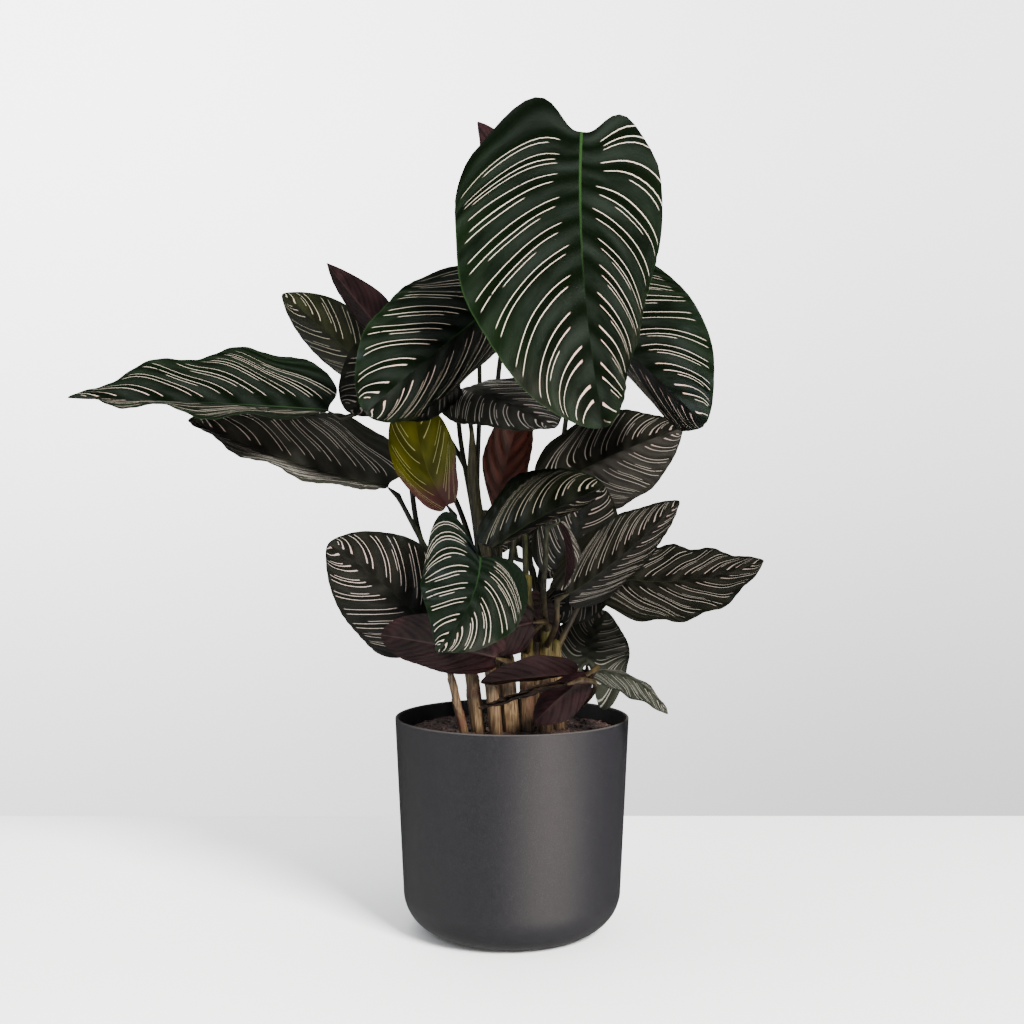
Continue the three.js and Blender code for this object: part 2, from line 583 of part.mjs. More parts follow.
// Each sheath ends in a small step, where the next one comes out of it: shares of the shoot's
// height, and of its radius there.
const sheathShares = [-1, 0, 0.4, 0.44, 0.75, 0.79, 1];
const sheathSteps = [1, 1, 1.02, 0.86, 0.9, 0.74, 0.7];

function shootSolid(shoot, swell = 0) {
  const points = sheathShares.map(shootLine(shoot));
  const radii = sheathSteps.map((step) => shoot.radius * step + swell);
  if (swell > 0) {
    points[0].z -= swell;
  }
  return toSolid(rodGeometry(points, radii, SHOOT_SIDES));
}

// The long sheath leaves its shoot well below the top, widens and ends in a blunt point.
function sheathSolid(shoot) {
  const { past, radius } = shoot.sheath;
  const points = [shootLine(shoot)(SHEATH_FROM), ...past.map(vector)];
  const radii = points.map((_, index) => (index === past.length ? radius / 3 : radius));
  return toSolid(rodGeometry(points, radii, SHOOT_SIDES));
}

// A stalk ends just under the base of its blade, midway between the two folded sides.
function stalkSolid(blade) {
  const { place, ahead, right, up } = midrib(blade).frame(0);
  const [foldA, foldB] = blade.fold.map(degToRad);
  const tilt = (foldB - foldA) / 2;
  const between = up.clone().multiplyScalar(Math.cos(tilt)).addScaledVector(right, Math.sin(tilt));
  const arrival = ahead.clone().multiplyScalar(1 - blade.arrive);
  arrival.addScaledVector(between, blade.arrive).normalize();
  const half = Math.PI / 2 + Math.min(0, (foldA + foldB) / 2);
  const slant = Math.max(arrival.clone().cross(between).length(), 1 / Math.tan(half));
  const below = (BLADE_THICK / 2 + STALK_GAP) / Math.sin(half) + STALK_END_RADIUS * slant;
  const end = place.clone().addScaledVector(between, -below);
  const last = end.clone().addScaledVector(arrival, -STALK_STRAIGHT);
  const start = shootLine(shoots[blade.shoot])(blade.from);
  const curve = new THREE.CatmullRomCurve3([start, ...blade.past.map(vector), last]);
  const points = curve.getSpacedPoints(STALK_STEPS);
  const radii = points.map((_, index) => {
    return lerp(STALK_FOOT_RADIUS, STALK_TOP_RADIUS, index / STALK_STEPS);
  });
  return toSolid(rodGeometry([...points, end], [...radii, STALK_END_RADIUS], STALK_SIDES));
}

// ---- The assembly ----

const group = new THREE.Group();

function addPiece(name, geometry, look) {
  const mesh = new THREE.Mesh(geometry, new THREE.MeshStandardMaterial(looks[look]));
  mesh.name = name;
  group.add(mesh);
}

addPiece('pot', potGeometry(), 'pot');

let soil = soilSolid();
for (const shoot of Object.values(shoots)) {
  soil = soil.subtract(shootSolid(shoot, GAP));
}
addPiece('soil', fromSolid(soil), 'soil');

for (const [name, shoot] of Object.entries(shoots)) {
  let solid = shootSolid(shoot);
  if (shoot.sheath) {
    solid = solid.add(sheathSolid(shoot));
  }
  for (const blade of Object.values(blades)) {
    if (blade.shoot === name) {
      solid = solid.add(stalkSolid(blade));
    }
  }
  addPiece(`shoot_${name}`, fromSolid(solid), 'shoot');
}

for (const [name, blade] of Object.entries(blades)) {
  addPiece(`leaf_${name}`, bladeGeometry(blade), otherLooks[name] ?? 'leaf');
}

export default group;
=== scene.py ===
# %% [markdown]
# # A potted pinstripe calathea
#
# This lesson dresses a houseplant: a dark round-footed pot, potting mix, nine sheathed shoots and
# thirty-four striped leaves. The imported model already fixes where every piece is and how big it
# is. Each step below takes one piece of it, makes it again with a fine mesh, and gives it a
# surface that is worked out from formulas, so no picture is read.

# %% Load the frame
import math

import bpy
import numpy as np
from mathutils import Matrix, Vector, noise


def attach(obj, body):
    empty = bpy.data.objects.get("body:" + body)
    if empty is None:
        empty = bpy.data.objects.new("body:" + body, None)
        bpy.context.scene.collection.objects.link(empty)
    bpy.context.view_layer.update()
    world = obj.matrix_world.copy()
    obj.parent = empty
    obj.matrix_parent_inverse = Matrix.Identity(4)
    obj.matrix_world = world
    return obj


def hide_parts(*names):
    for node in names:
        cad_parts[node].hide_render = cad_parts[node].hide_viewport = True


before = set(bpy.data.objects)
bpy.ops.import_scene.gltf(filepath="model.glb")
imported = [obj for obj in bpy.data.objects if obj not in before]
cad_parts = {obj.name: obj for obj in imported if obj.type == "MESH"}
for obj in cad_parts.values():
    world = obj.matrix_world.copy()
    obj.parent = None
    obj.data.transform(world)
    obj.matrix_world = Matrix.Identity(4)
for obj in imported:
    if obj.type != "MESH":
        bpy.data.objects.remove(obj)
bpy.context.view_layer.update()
MM = 0.001  # the tables below are in millimetres, Blender works in metres
rng = np.random.default_rng(7)
print("nodes in the frame:", len(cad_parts))

# %% [markdown]
# ## Camera
#
# The photograph was taken level, from a little over a metre away and from the height of the
# plant's middle. A level camera keeps the pot's sides from leaning. Its lens is worked out from
# the pot: the rim is 232 pixels wide in a frame of 1024, and 220 mm wide in life.

# %% Camera
RIM_RADIUS = 0.110
CAMERA_AWAY = 1.215
CAMERA_HEIGHT = 0.390
RIM_PIXELS = 232.7
FRAME_PIXELS = 1024
SENSOR = 36.0

camera_data = bpy.data.cameras.new("camera")
camera_data.sensor_width = SENSOR
camera_data.lens = RIM_PIXELS * CAMERA_AWAY / (2 * RIM_RADIUS) / FRAME_PIXELS * SENSOR
camera = bpy.data.objects.new("camera", camera_data)
camera.location = (0, -CAMERA_AWAY, CAMERA_HEIGHT)
camera.rotation_euler = (math.radians(90), 0, 0)
bpy.context.scene.collection.objects.link(camera)
bpy.context.scene.camera = camera
print("lens", round(camera_data.lens, 1), "mm")

# %% [markdown]
# ## Studio
#
# A pale floor ends a little behind the pot, where the photograph has its faint line, and a pale
# grey world stands for the wall. A wide key lamp from the front right lights the plant and throws
# its soft shadow to the left. Dark glossy leaves would turn grey if they mirrored such bright
# lamps, so the key and the top lamp are left out of reflections, as a photographer's polarising
# filter does. A tall weak strip beside the key makes the glow on the pot, and a cool lamp on the
# left makes the bluish sheen on the crown leaf. The world gives more soft light from behind, so
# that the plant's back can be read too. Glossy surfaces mirror a world of their own, mostly dark,
# with a paler left and a warm glow low on the right, where the floor is lit.

# %% Floor and lamps
FLOOR_END = 0.434
FLOOR_REACH = 3.0


def new_object(name, mesh):
    """Adds a mesh to the scene as an object that sits unturned at the origin."""
    thing = bpy.data.objects.new(name, mesh)
    bpy.context.scene.collection.objects.link(thing)
    return thing


def area_lamp(name, place, target, size, power, color, mirrored=True):
    """A soft lamp that looks at a point; it can be left out of reflections."""
    lamp = bpy.data.lights.new(name, "AREA")
    lamp.shape = "RECTANGLE"
    lamp.size, lamp.size_y = size
    lamp.energy, lamp.color = power, color
    holder = bpy.data.objects.new(name, lamp)
    holder.location = place
    holder.rotation_euler = (Vector(target) - Vector(place)).to_track_quat("-Z", "Y").to_euler()
    holder.visible_glossy = mirrored
    bpy.context.scene.collection.objects.link(holder)


floor_mesh = bpy.data.meshes.new("floor")
floor_mesh.from_pydata(
    [(-FLOOR_REACH, -FLOOR_REACH, 0), (FLOOR_REACH, -FLOOR_REACH, 0),
     (FLOOR_REACH, FLOOR_END, 0), (-FLOOR_REACH, FLOOR_END, 0)], [], [(0, 1, 2, 3)])
floor = new_object("floor", floor_mesh)
floor.visible_glossy = False
area_lamp("key", (1.4, -2.1, 2.0), (0, 0, 0.3), (0.9, 0.9), 480, (1.0, 0.985, 0.96), False)
area_lamp("top", (-0.5, 0.2, 2.6), (-0.2, 0, 0.3), (2.0, 2.0), 80, (1.0, 1.0, 1.0), False)
area_lamp("strip", (1.3, -1.9, 0.6), (0, 0, 0.2), (0.35, 1.2), 9, (1.0, 0.88, 0.76))
area_lamp("cool side", (-1.5, -1.5, 1.9), (0, 0, 0.5), (0.9, 0.9), 12, (0.78, 0.92, 1.0))
print("floor and four lamps")

# %% [markdown]
# ## Node helpers
#
# Every surface here is a small network of nodes. A few helpers keep the networks short: one adds
# a node, others do a sum, and the rest blend colours, draw noise and wire the shader.

# %% Node helpers
def add_node(tree, kind, inputs=None, **settings):
    """Adds a node, sets its settings, and feeds its inputs with values or with sockets."""
    node = tree.nodes.new(kind)
    for key, value in settings.items():
        setattr(node, key, value)
    for key, value in (inputs or {}).items():
        if isinstance(value, bpy.types.NodeSocket):
            tree.links.new(value, node.inputs[key])
        else:
            node.inputs[key].default_value = value
    return node


def maths(tree, operation, *values):
    """One sum: the operation's name, then its numbers or sockets."""
    return add_node(tree, "ShaderNodeMath", dict(enumerate(values)), operation=operation).outputs[0]


def plus(tree, first, second):
    """One value added to another."""
    return maths(tree, "ADD", first, second)


def minus(tree, first, second):
    """The second value taken from the first."""
    return maths(tree, "SUBTRACT", first, second)


def times(tree, first, second):
    """One value multiplied by another."""
    return maths(tree, "MULTIPLY", first, second)


def scaled(tree, value, factor, start):
    """A straight line: the value times a factor, counted from a start."""
    return maths(tree, "MULTIPLY_ADD", value, factor, start)


def axes_of(tree, vector):
    """The X, Y and Z of a vector."""
    return add_node(tree, "ShaderNodeSeparateXYZ", {0: vector}).outputs


def object_place(tree):
    """Where a point is on its object, in metres."""
    return add_node(tree, "ShaderNodeTexCoord").outputs["Object"]


def ramp(tree, value, low, high):
    """Turns a value into a smooth share: 0 at low and 1 at high."""
    inputs = {"Value": value, "From Min": low, "From Max": high}
    return add_node(tree, "ShaderNodeMapRange", inputs, interpolation_type="SMOOTHSTEP").outputs[0]


def blend(tree, share, first, second, way="MIX"):
    """Blends two colours, or darkens and tints one with another."""
    mix = add_node(tree, "ShaderNodeMix", data_type="RGBA", blend_type=way)
    for index, value in ((0, share), (6, first), (7, second)):
        if isinstance(value, bpy.types.NodeSocket):
            tree.links.new(value, mix.inputs[index])
        else:
            mix.inputs[index].default_value = value if index == 0 else (*value, 1)
    return mix.outputs[2]


def noise_value(tree, vector, scale, detail=2.0):
    """Soft random values that follow a set of coordinates."""
    return add_node(tree, "ShaderNodeTexNoise", {"Vector": vector, "Scale": scale, "Detail": detail}
                    ).outputs["Fac"]


def stretch(tree, vector, scale):
    """Coordinates squeezed along each axis."""
    return add_node(tree, "ShaderNodeMapping", {"Vector": vector, "Scale": scale}).outputs[0]


def new_material(name):
    """A material with its shader node, ready to be wired."""
    material = bpy.data.materials.new(name)
    material.use_nodes = True
    return material, material.node_tree, material.node_tree.nodes["Principled BSDF"]


def add_bump(tree, shader, height, strength, distance):
    """Fine relief from a height."""
    bump = add_node(tree, "ShaderNodeBump",
                    {"Height": height, "Strength": strength, "Distance": distance})
    tree.links.new(bump.outputs[0], shader.inputs["Normal"])


def feed(tree, shader, socket, value):
    """Feeds one socket of the shader."""
    tree.links.new(value, shader.inputs[socket])


# %% Floor and wall
FLOOR_LEFT, FLOOR_RIGHT = (0.95, 0.95, 0.95), (0.74, 0.74, 0.74)
WALL_LOW, WALL_HIGH = 1.7, 4.6  # brightness of the wall at the floor and above the plant
WALL_LEFT, WALL_RIGHT = 1.25, 0.75
SOFT_LIGHT, BACK_LIGHT = 0.72, 2.2  # what matt surfaces get from all round, and more from behind
MIRRORED_LIGHT, MIRRORED_LEFT = 0.05, 0.42  # and to glossy ones, which mirror a paler left
MIRRORED_GLOW, MIRRORED_FLOOR = 2.5, 0.30  # the lit floor to the right, and the rest of it
GLOW_TOWARDS = (0.62, -0.785)  # the way to the lit floor, as seen from the pot
GLOW_COLOR = (1.0, 0.87, 0.74)

floor_look, tree, shader = new_material("floor")
spot = object_place(tree)
across = axes_of(tree, spot)[0]
# The floor's colour is painted paler on the left and darker on the right, a painted fall of light,
# with a soft noise in the change.
painted_light_across = scaled(tree, noise_value(tree, spot, 3.0), 0.1, across)
feed(tree, shader, "Base Color",
     blend(tree, ramp(tree, painted_light_across, -0.3, 0.5), FLOOR_LEFT, FLOOR_RIGHT))
shader.inputs["Roughness"].default_value = 0.8
shader.inputs["Specular IOR Level"].default_value = 0.2
floor.data.materials.append(floor_look)

world = bpy.data.worlds.new("studio")
world.use_nodes = True
bpy.context.scene.world = world
sky = world.node_tree
look = axes_of(sky, add_node(sky, "ShaderNodeTexCoord").outputs["Generated"])
rise = ramp(sky, look[2], -0.3, 0.35)
wall = scaled(sky, rise, WALL_HIGH - WALL_LOW, WALL_LOW)
across = ramp(sky, look[0], -0.4, 0.4)
wall = times(sky, wall, scaled(sky, across, WALL_RIGHT - WALL_LEFT, WALL_LEFT))
ray = add_node(sky, "ShaderNodeLightPath").outputs
far_left = ramp(sky, look[0], -0.5, -0.95)
mirrored = scaled(sky, far_left, MIRRORED_LEFT - MIRRORED_LIGHT, MIRRORED_LIGHT)
towards = scaled(sky, look[0], GLOW_TOWARDS[0], times(sky, look[1], GLOW_TOWARDS[1]))
glow = times(sky, ramp(sky, towards, 0.62, 1.0), ramp(sky, look[2], 0.10, -0.12))
mirrored = scaled(sky, glow, MIRRORED_GLOW, mirrored)
mirrored = scaled(sky, ramp(sky, look[2], -0.1, -0.6), MIRRORED_FLOOR, mirrored)
soft = scaled(sky, ramp(sky, look[1], 0.35, 0.95), BACK_LIGHT, SOFT_LIGHT)
around = scaled(sky, ray["Is Glossy Ray"], minus(sky, mirrored, soft), soft)
seen = times(sky, ray["Is Camera Ray"], minus(sky, wall, around))
background = sky.nodes["Background"].inputs
warmed = times(sky, glow, ray["Is Glossy Ray"])
sky.links.new(blend(sky, warmed, (1, 1, 1), GLOW_COLOR), background["Color"])
sky.links.new(plus(sky, around, seen), background["Strength"])
print("floor and wall coloured")

# %% [markdown]
# ## Pot
#
# The pot is a thin dark shell with a tapered wall and a foot rounded in a wide quarter circle.
# It has the same shape all the way round, so its outline is turned about the upright axis. The
# outline goes up the outside, over the rounded rim and down the inside.

# %% Turn an outline
POT_SIDES = 160


def mesh_from(name, points, faces):
    """A named mesh with smooth faces."""
    mesh = bpy.data.meshes.new(name)
    mesh.from_pydata([tuple(point) for point in points], [], faces)
    mesh.shade_smooth()
    return mesh


def turn(name, outline, sides):
    """A closed body from an outline of (radius, height) that starts and ends on the axis."""
    ring = outline[1:-1]
    angles = np.linspace(0, 2 * math.pi, sides, endpoint=False)
    points = [(r * math.cos(a), r * math.sin(a), z) for r, z in ring for a in angles]
    foot, top = len(points), len(points) + 1
    points += [(0, 0, outline[0][1]), (0, 0, outline[-1][1])]
    faces = []
    for side in range(sides):
        after = (side + 1) % sides
        for row in range(len(ring) - 1):
            low, high = row * sides, (row + 1) * sides
            faces.append((low + side, low + after, high + after, high + side))
        last = (len(ring) - 1) * sides
        faces.append((foot, after, side))
        faces.append((top, last + side, last + after))
    return mesh_from(name, points, faces)


# %% Pot outline
POT_HEIGHT = 0.198
POT_FOOT_RADIUS = 0.1003
POT_ROUND = 0.037
POT_WALL = 0.003
POT_FLOOR = 0.004


def wall_radius(z):
    """The pot's outside, which tapers evenly."""
    return POT_FOOT_RADIUS + (RIM_RADIUS - POT_FOOT_RADIUS) * z / POT_HEIGHT


def foot_round(inset, floor_height, steps=20):
    """The quarter circle between floor and wall."""
    radius = POT_ROUND - inset
    centre = wall_radius(POT_ROUND) - POT_ROUND
    angles = np.linspace(0, math.pi / 2, steps)
    return [(centre + radius * math.sin(a), floor_height + radius * (1 - math.cos(a)))
            for a in angles]


lip = POT_WALL / 2
rim = [(RIM_RADIUS - lip + lip * math.cos(a), POT_HEIGHT - lip + lip * math.sin(a))
       for a in np.linspace(0, math.pi, 13)]
pot_outline = [(0, 0), *foot_round(0, 0), *rim, *reversed(foot_round(POT_WALL, POT_FLOOR)),
               (0, POT_FLOOR)]
pot = new_object("pot_shell", turn("pot_shell", pot_outline, POT_SIDES))
pot.data.set_sharp_from_angle(angle=math.radians(60))
print("pot faces", len(pot.data.polygons))

# %% [markdown]
# The finish is a dark satin coat with a metallic fleck, the kind that looks slightly grainy from
# close by. A very fine noise sets the flecks, and a large soft one moves the gloss a little, as
# on a moulded pot that has been wiped. The last millimetre of the rim is painted paler: a painted
# highlight along the lip.

# %% Pot finish
LIP_HIGHLIGHT_FROM, LIP_HIGHLIGHT_TO = 0.1966, 0.1977  # heights at which the painted lip highlight begins and is full
LIP_HIGHLIGHT_SHARE = 0.6
LIP_HIGHLIGHT_COLOR = (0.055, 0.050, 0.045)

pot_look, tree, shader = new_material("pot_satin")
place = object_place(tree)
fleck = ramp(tree, noise_value(tree, place, 1500.0, 3.0), 0.50, 0.72)
cloud = noise_value(tree, place, 14.0, 3.0)
satin = blend(tree, fleck, (0.0072, 0.0069, 0.0088), (0.022, 0.020, 0.021))
# The top of the rim is painted paler: a painted highlight along the lip.
lip_highlight = times(tree, ramp(tree, axes_of(tree, place)[2], LIP_HIGHLIGHT_FROM, LIP_HIGHLIGHT_TO), LIP_HIGHLIGHT_SHARE)
feed(tree, shader, "Base Color", blend(tree, lip_highlight, satin, LIP_HIGHLIGHT_COLOR))
feed(tree, shader, "Roughness", scaled(tree, cloud, 0.08, 0.36))
shader.inputs["Specular IOR Level"].default_value = 0.6
add_bump(tree, shader, noise_value(tree, place, 900.0, 2.0), 0.12, 0.0004)
pot.data.materials.append(pot_look)
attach(pot, "root")
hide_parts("pot")
print("pot dressed")

# %% [markdown]
# ## Potting mix
#
# The mix fills the pot to a finger below the rim and has shrunk a little from the wall. It is
# turned like the pot, with many rings on its face, and noise then lifts those rings into lumps.

# %% Soil body
SOIL_TOP = 0.185
SOIL_CROWN = 0.003
SOIL_SHOULDER = 0.013
SOIL_GAP = 0.0004
SOIL_SIDES = 120
SOIL_RINGS = 44
LUMP_HEIGHT = 0.0016
LUMPS_PER_METRE = 70

inset = POT_WALL + SOIL_GAP
soil_edge = SOIL_TOP - SOIL_SHOULDER
soil_reach = wall_radius(soil_edge) - inset
flat = soil_reach - SOIL_SHOULDER
shoulder = [(soil_reach - SOIL_SHOULDER * (1 - math.cos(a)),
             soil_edge + SOIL_SHOULDER * math.sin(a)) for a in np.linspace(0, math.pi / 2, 8)]
face = [(share * flat, SOIL_TOP + SOIL_CROWN * (1 - share * share))
        for share in np.linspace(1, 0.02, SOIL_RINGS)[1:]]
soil_outline = [(0, POT_FLOOR + SOIL_GAP), *foot_round(inset, POT_FLOOR + SOIL_GAP, 8), *shoulder,
                *face, (0, SOIL_TOP + SOIL_CROWN)]
soil = new_object("potting_mix", turn("potting_mix", soil_outline, SOIL_SIDES))
for vertex in soil.data.vertices:
    x, y, z = vertex.co
    if z > soil_edge:
        place = Vector((x, y, z)) * LUMPS_PER_METRE
        lump = noise.noise(place) + 0.5 * noise.noise(Vector((x, y, z)) * (3 * LUMPS_PER_METRE))
        vertex.co.z += LUMP_HEIGHT * lump * min(1, (z - soil_edge) / SOIL_SHOULDER)
print("soil faces", len(soil.data.polygons))

# %% [markdown]
# Crumbs, chips and fibres lie on the mix in no order, so Geometry Nodes scatter them. The tree
# takes the soil's face, drops points on it, and puts a small rough lump on each one with its own
# turn and size. A fixed seed gives the same crumbs each time.

# %% A tree that scatters crumbs
def add_input(tree, name, kind, value=None):
    """A named input of a node tree."""
    socket = tree.interface.new_socket(name=name, in_out="INPUT", socket_type=kind)
    if value is not None:
        socket.default_value = value
    return socket


def start_tree(name, inputs):
    """A geometry tree with a geometry input, the named inputs and a geometry output."""
    tree = bpy.data.node_groups.new(name, "GeometryNodeTree")
    add_input(tree, "Geometry", "NodeSocketGeometry")
    for label, kind, value in inputs:
        add_input(tree, label, kind, value)
    tree.interface.new_socket(name="Geometry", in_out="OUTPUT", socket_type="NodeSocketGeometry")
    return tree, tree.nodes.new("NodeGroupInput"), tree.nodes.new("NodeGroupOutput")


def end_tree(tree, geometry, start, end):
    """Ends a tree: real geometry, then its material."""
    real = add_node(tree, "GeometryNodeRealizeInstances", {0: geometry})
    painted = add_node(tree, "GeometryNodeSetMaterial",
                       {"Geometry": real.outputs[0], "Material": start.outputs["Material"]})
    tree.links.new(painted.outputs[0], end.inputs[0])


def scatter_tree():
    """Drops points on the upward faces and puts a rough lump on each."""
    tree, start, end = start_tree("scatter_crumbs", [
        ("Density", "NodeSocketFloat", 20000.0), ("Seed", "NodeSocketInt", 1),
        ("Smallest", "NodeSocketFloat", 0.3), ("Largest", "NodeSocketFloat", 1.0),
        ("Lump", "NodeSocketVector", (0.003, 0.002, 0.0015)),
        ("Material", "NodeSocketMaterial", None)])
    normal = add_node(tree, "GeometryNodeInputNormal").outputs[0]
    up = axes_of(tree, normal)[2]
    facing = add_node(tree, "FunctionNodeCompare", {"A": up, "B": 0.6}, operation="GREATER_THAN")
    points = add_node(tree, "GeometryNodeDistributePointsOnFaces",
                      {"Mesh": start.outputs["Geometry"], "Selection": facing.outputs[0],
                       "Density": start.outputs["Density"], "Seed": start.outputs["Seed"]})
    lump = add_node(tree, "GeometryNodeMeshIcoSphere", {"Radius": 1.0, "Subdivisions": 1})
    shaped = add_node(tree, "GeometryNodeTransform",
                      {"Geometry": lump.outputs[0], "Scale": start.outputs["Lump"]})
    spin = add_node(tree, "FunctionNodeRandomValue", data_type="FLOAT_VECTOR")
    spin.inputs["Max"].default_value = (0.7, 0.7, 2 * math.pi)
    size = add_node(tree, "FunctionNodeRandomValue", data_type="FLOAT")
    tree.links.new(start.outputs["Smallest"], size.inputs[2])
    tree.links.new(start.outputs["Largest"], size.inputs[3])
    tree.links.new(start.outputs["Seed"], size.inputs["Seed"])
    placed = add_node(tree, "GeometryNodeInstanceOnPoints",
                      {"Points": points.outputs[0], "Instance": shaped.outputs[0],
                       "Rotation": spin.outputs[0], "Scale": size.outputs[1]})
    end_tree(tree, placed.outputs[0], start, end)
    return tree


def run_tree(name, mesh, tree, values):
    """Runs a geometry tree on a mesh and returns the plain mesh that comes out."""
    carrier = new_object(name, mesh)
    modifier = carrier.modifiers.new("tree", "NODES")
    modifier.node_group = tree
    sockets = {item.name: item.identifier for item in tree.interface.items_tree
               if item.in_out == "INPUT"}
    for label, value in values.items():
        modifier[sockets[label]] = value
    evaluated = carrier.evaluated_get(bpy.context.evaluated_depsgraph_get())
    result = bpy.data.meshes.new_from_object(evaluated)
    result.name = name
    bpy.data.objects.remove(carrier)
    return result


# %% Soil finish
def crumb_look(name, dark, light):
    """Matt brown that changes from crumb to crumb."""
    material, tree, shader = new_material(name)
    place = object_place(tree)
    patch = ramp(tree, noise_value(tree, place, 240.0, 4.0), 0.35, 0.68)
    fine = noise_value(tree, place, 1400.0, 3.0)
    feed(tree, shader, "Base Color", blend(tree, patch, dark, light))
    shader.inputs["Roughness"].default_value = 0.93
    add_bump(tree, shader, fine, 0.7, 0.0008)
    return material


soil_look = crumb_look("soil", (0.0180, 0.0115, 0.0100), (0.050, 0.031, 0.027))
chip_look = crumb_look("soil_chips", (0.021, 0.013, 0.011), (0.062, 0.038, 0.031))
soil.data.materials.append(soil_look)

# %% Crumbs, chips and fibres
scatter = scatter_tree()
litter = [("crumbs", 26000.0, 3, 0.35, 1.0, (0.0026, 0.0020, 0.0015), soil_look),
          ("chips", 3800.0, 5, 0.4, 1.0, (0.0042, 0.0014, 0.0008), chip_look),
          ("fibres", 1500.0, 8, 0.5, 1.0, (0.0075, 0.00035, 0.0003), chip_look)]
for name, density, seed, smallest, largest, lump, look in litter:
    values = {"Density": density, "Seed": seed, "Smallest": smallest, "Largest": largest,
              "Lump": lump, "Material": look}
    bits = new_object("soil_" + name, run_tree(name, soil.data.copy(), scatter, values))
    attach(bits, "root")
    print(name, len(bits.data.polygons), "faces")
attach(soil, "root")
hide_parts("soil")

# %% [markdown]
# ## The plant's plan
#
# The two tables hold the plant's own plan, in millimetres. A shoot has its foot at the soil, its
# top, and its radius at the foot, and one of them sends up a long sheath through three points. A
# leaf has the two ends of its midrib and the point that it passes, the way its upper face looks at
# each end, its flat width, the outline's three numbers, and for its right and left side the lobe,
# the fold at the midrib and the curl towards the margin; an ear of 1 makes the lobes full and
# round. Then come the wave, the shoot that its stalk leaves, from which share of the shoot's
# height, the points that the stalk passes, and whether it arrives along the blade (0) or from
# beneath (1). The rest is the pattern: how many pairs of stripes a side has, how many more crowd
# into a heart-shaped base, how far the side veins sweep forward, how many pairs start before the
# midrib does, and the finish. What a leaf doesn't say is as on the usual leaf.

# %% Shoots
SHOOTS = {
    "left": ((-43, -42), (-58, -48, 252), 4.5),
    "left_front": ((-30, -36), (-46, -22, 300), 7),
    "front": ((-14, -46), (-24, -46, 290), 6.5),
    "middle": ((0, -34), (-12, -20, 330), 7),
    "middle_right": ((14, -28), (14, -12, 330), 6),
    "right_front": ((31, -26), (32, -24, 285), 6.5),
    "right": ((44, -14), (41, -8, 268), 6.5),
    "back_left": ((-12, 20), (-24, 28, 310), 6.5),
    "back_right": ((20, 26), (24, 36, 310), 6.5),
}
LONG_SHEATH = dict(shoot="middle", start=0.85, radius=5.5,
                   past=((-26, -30, 365), (-35, -32, 415), (-37, -32, 468)))

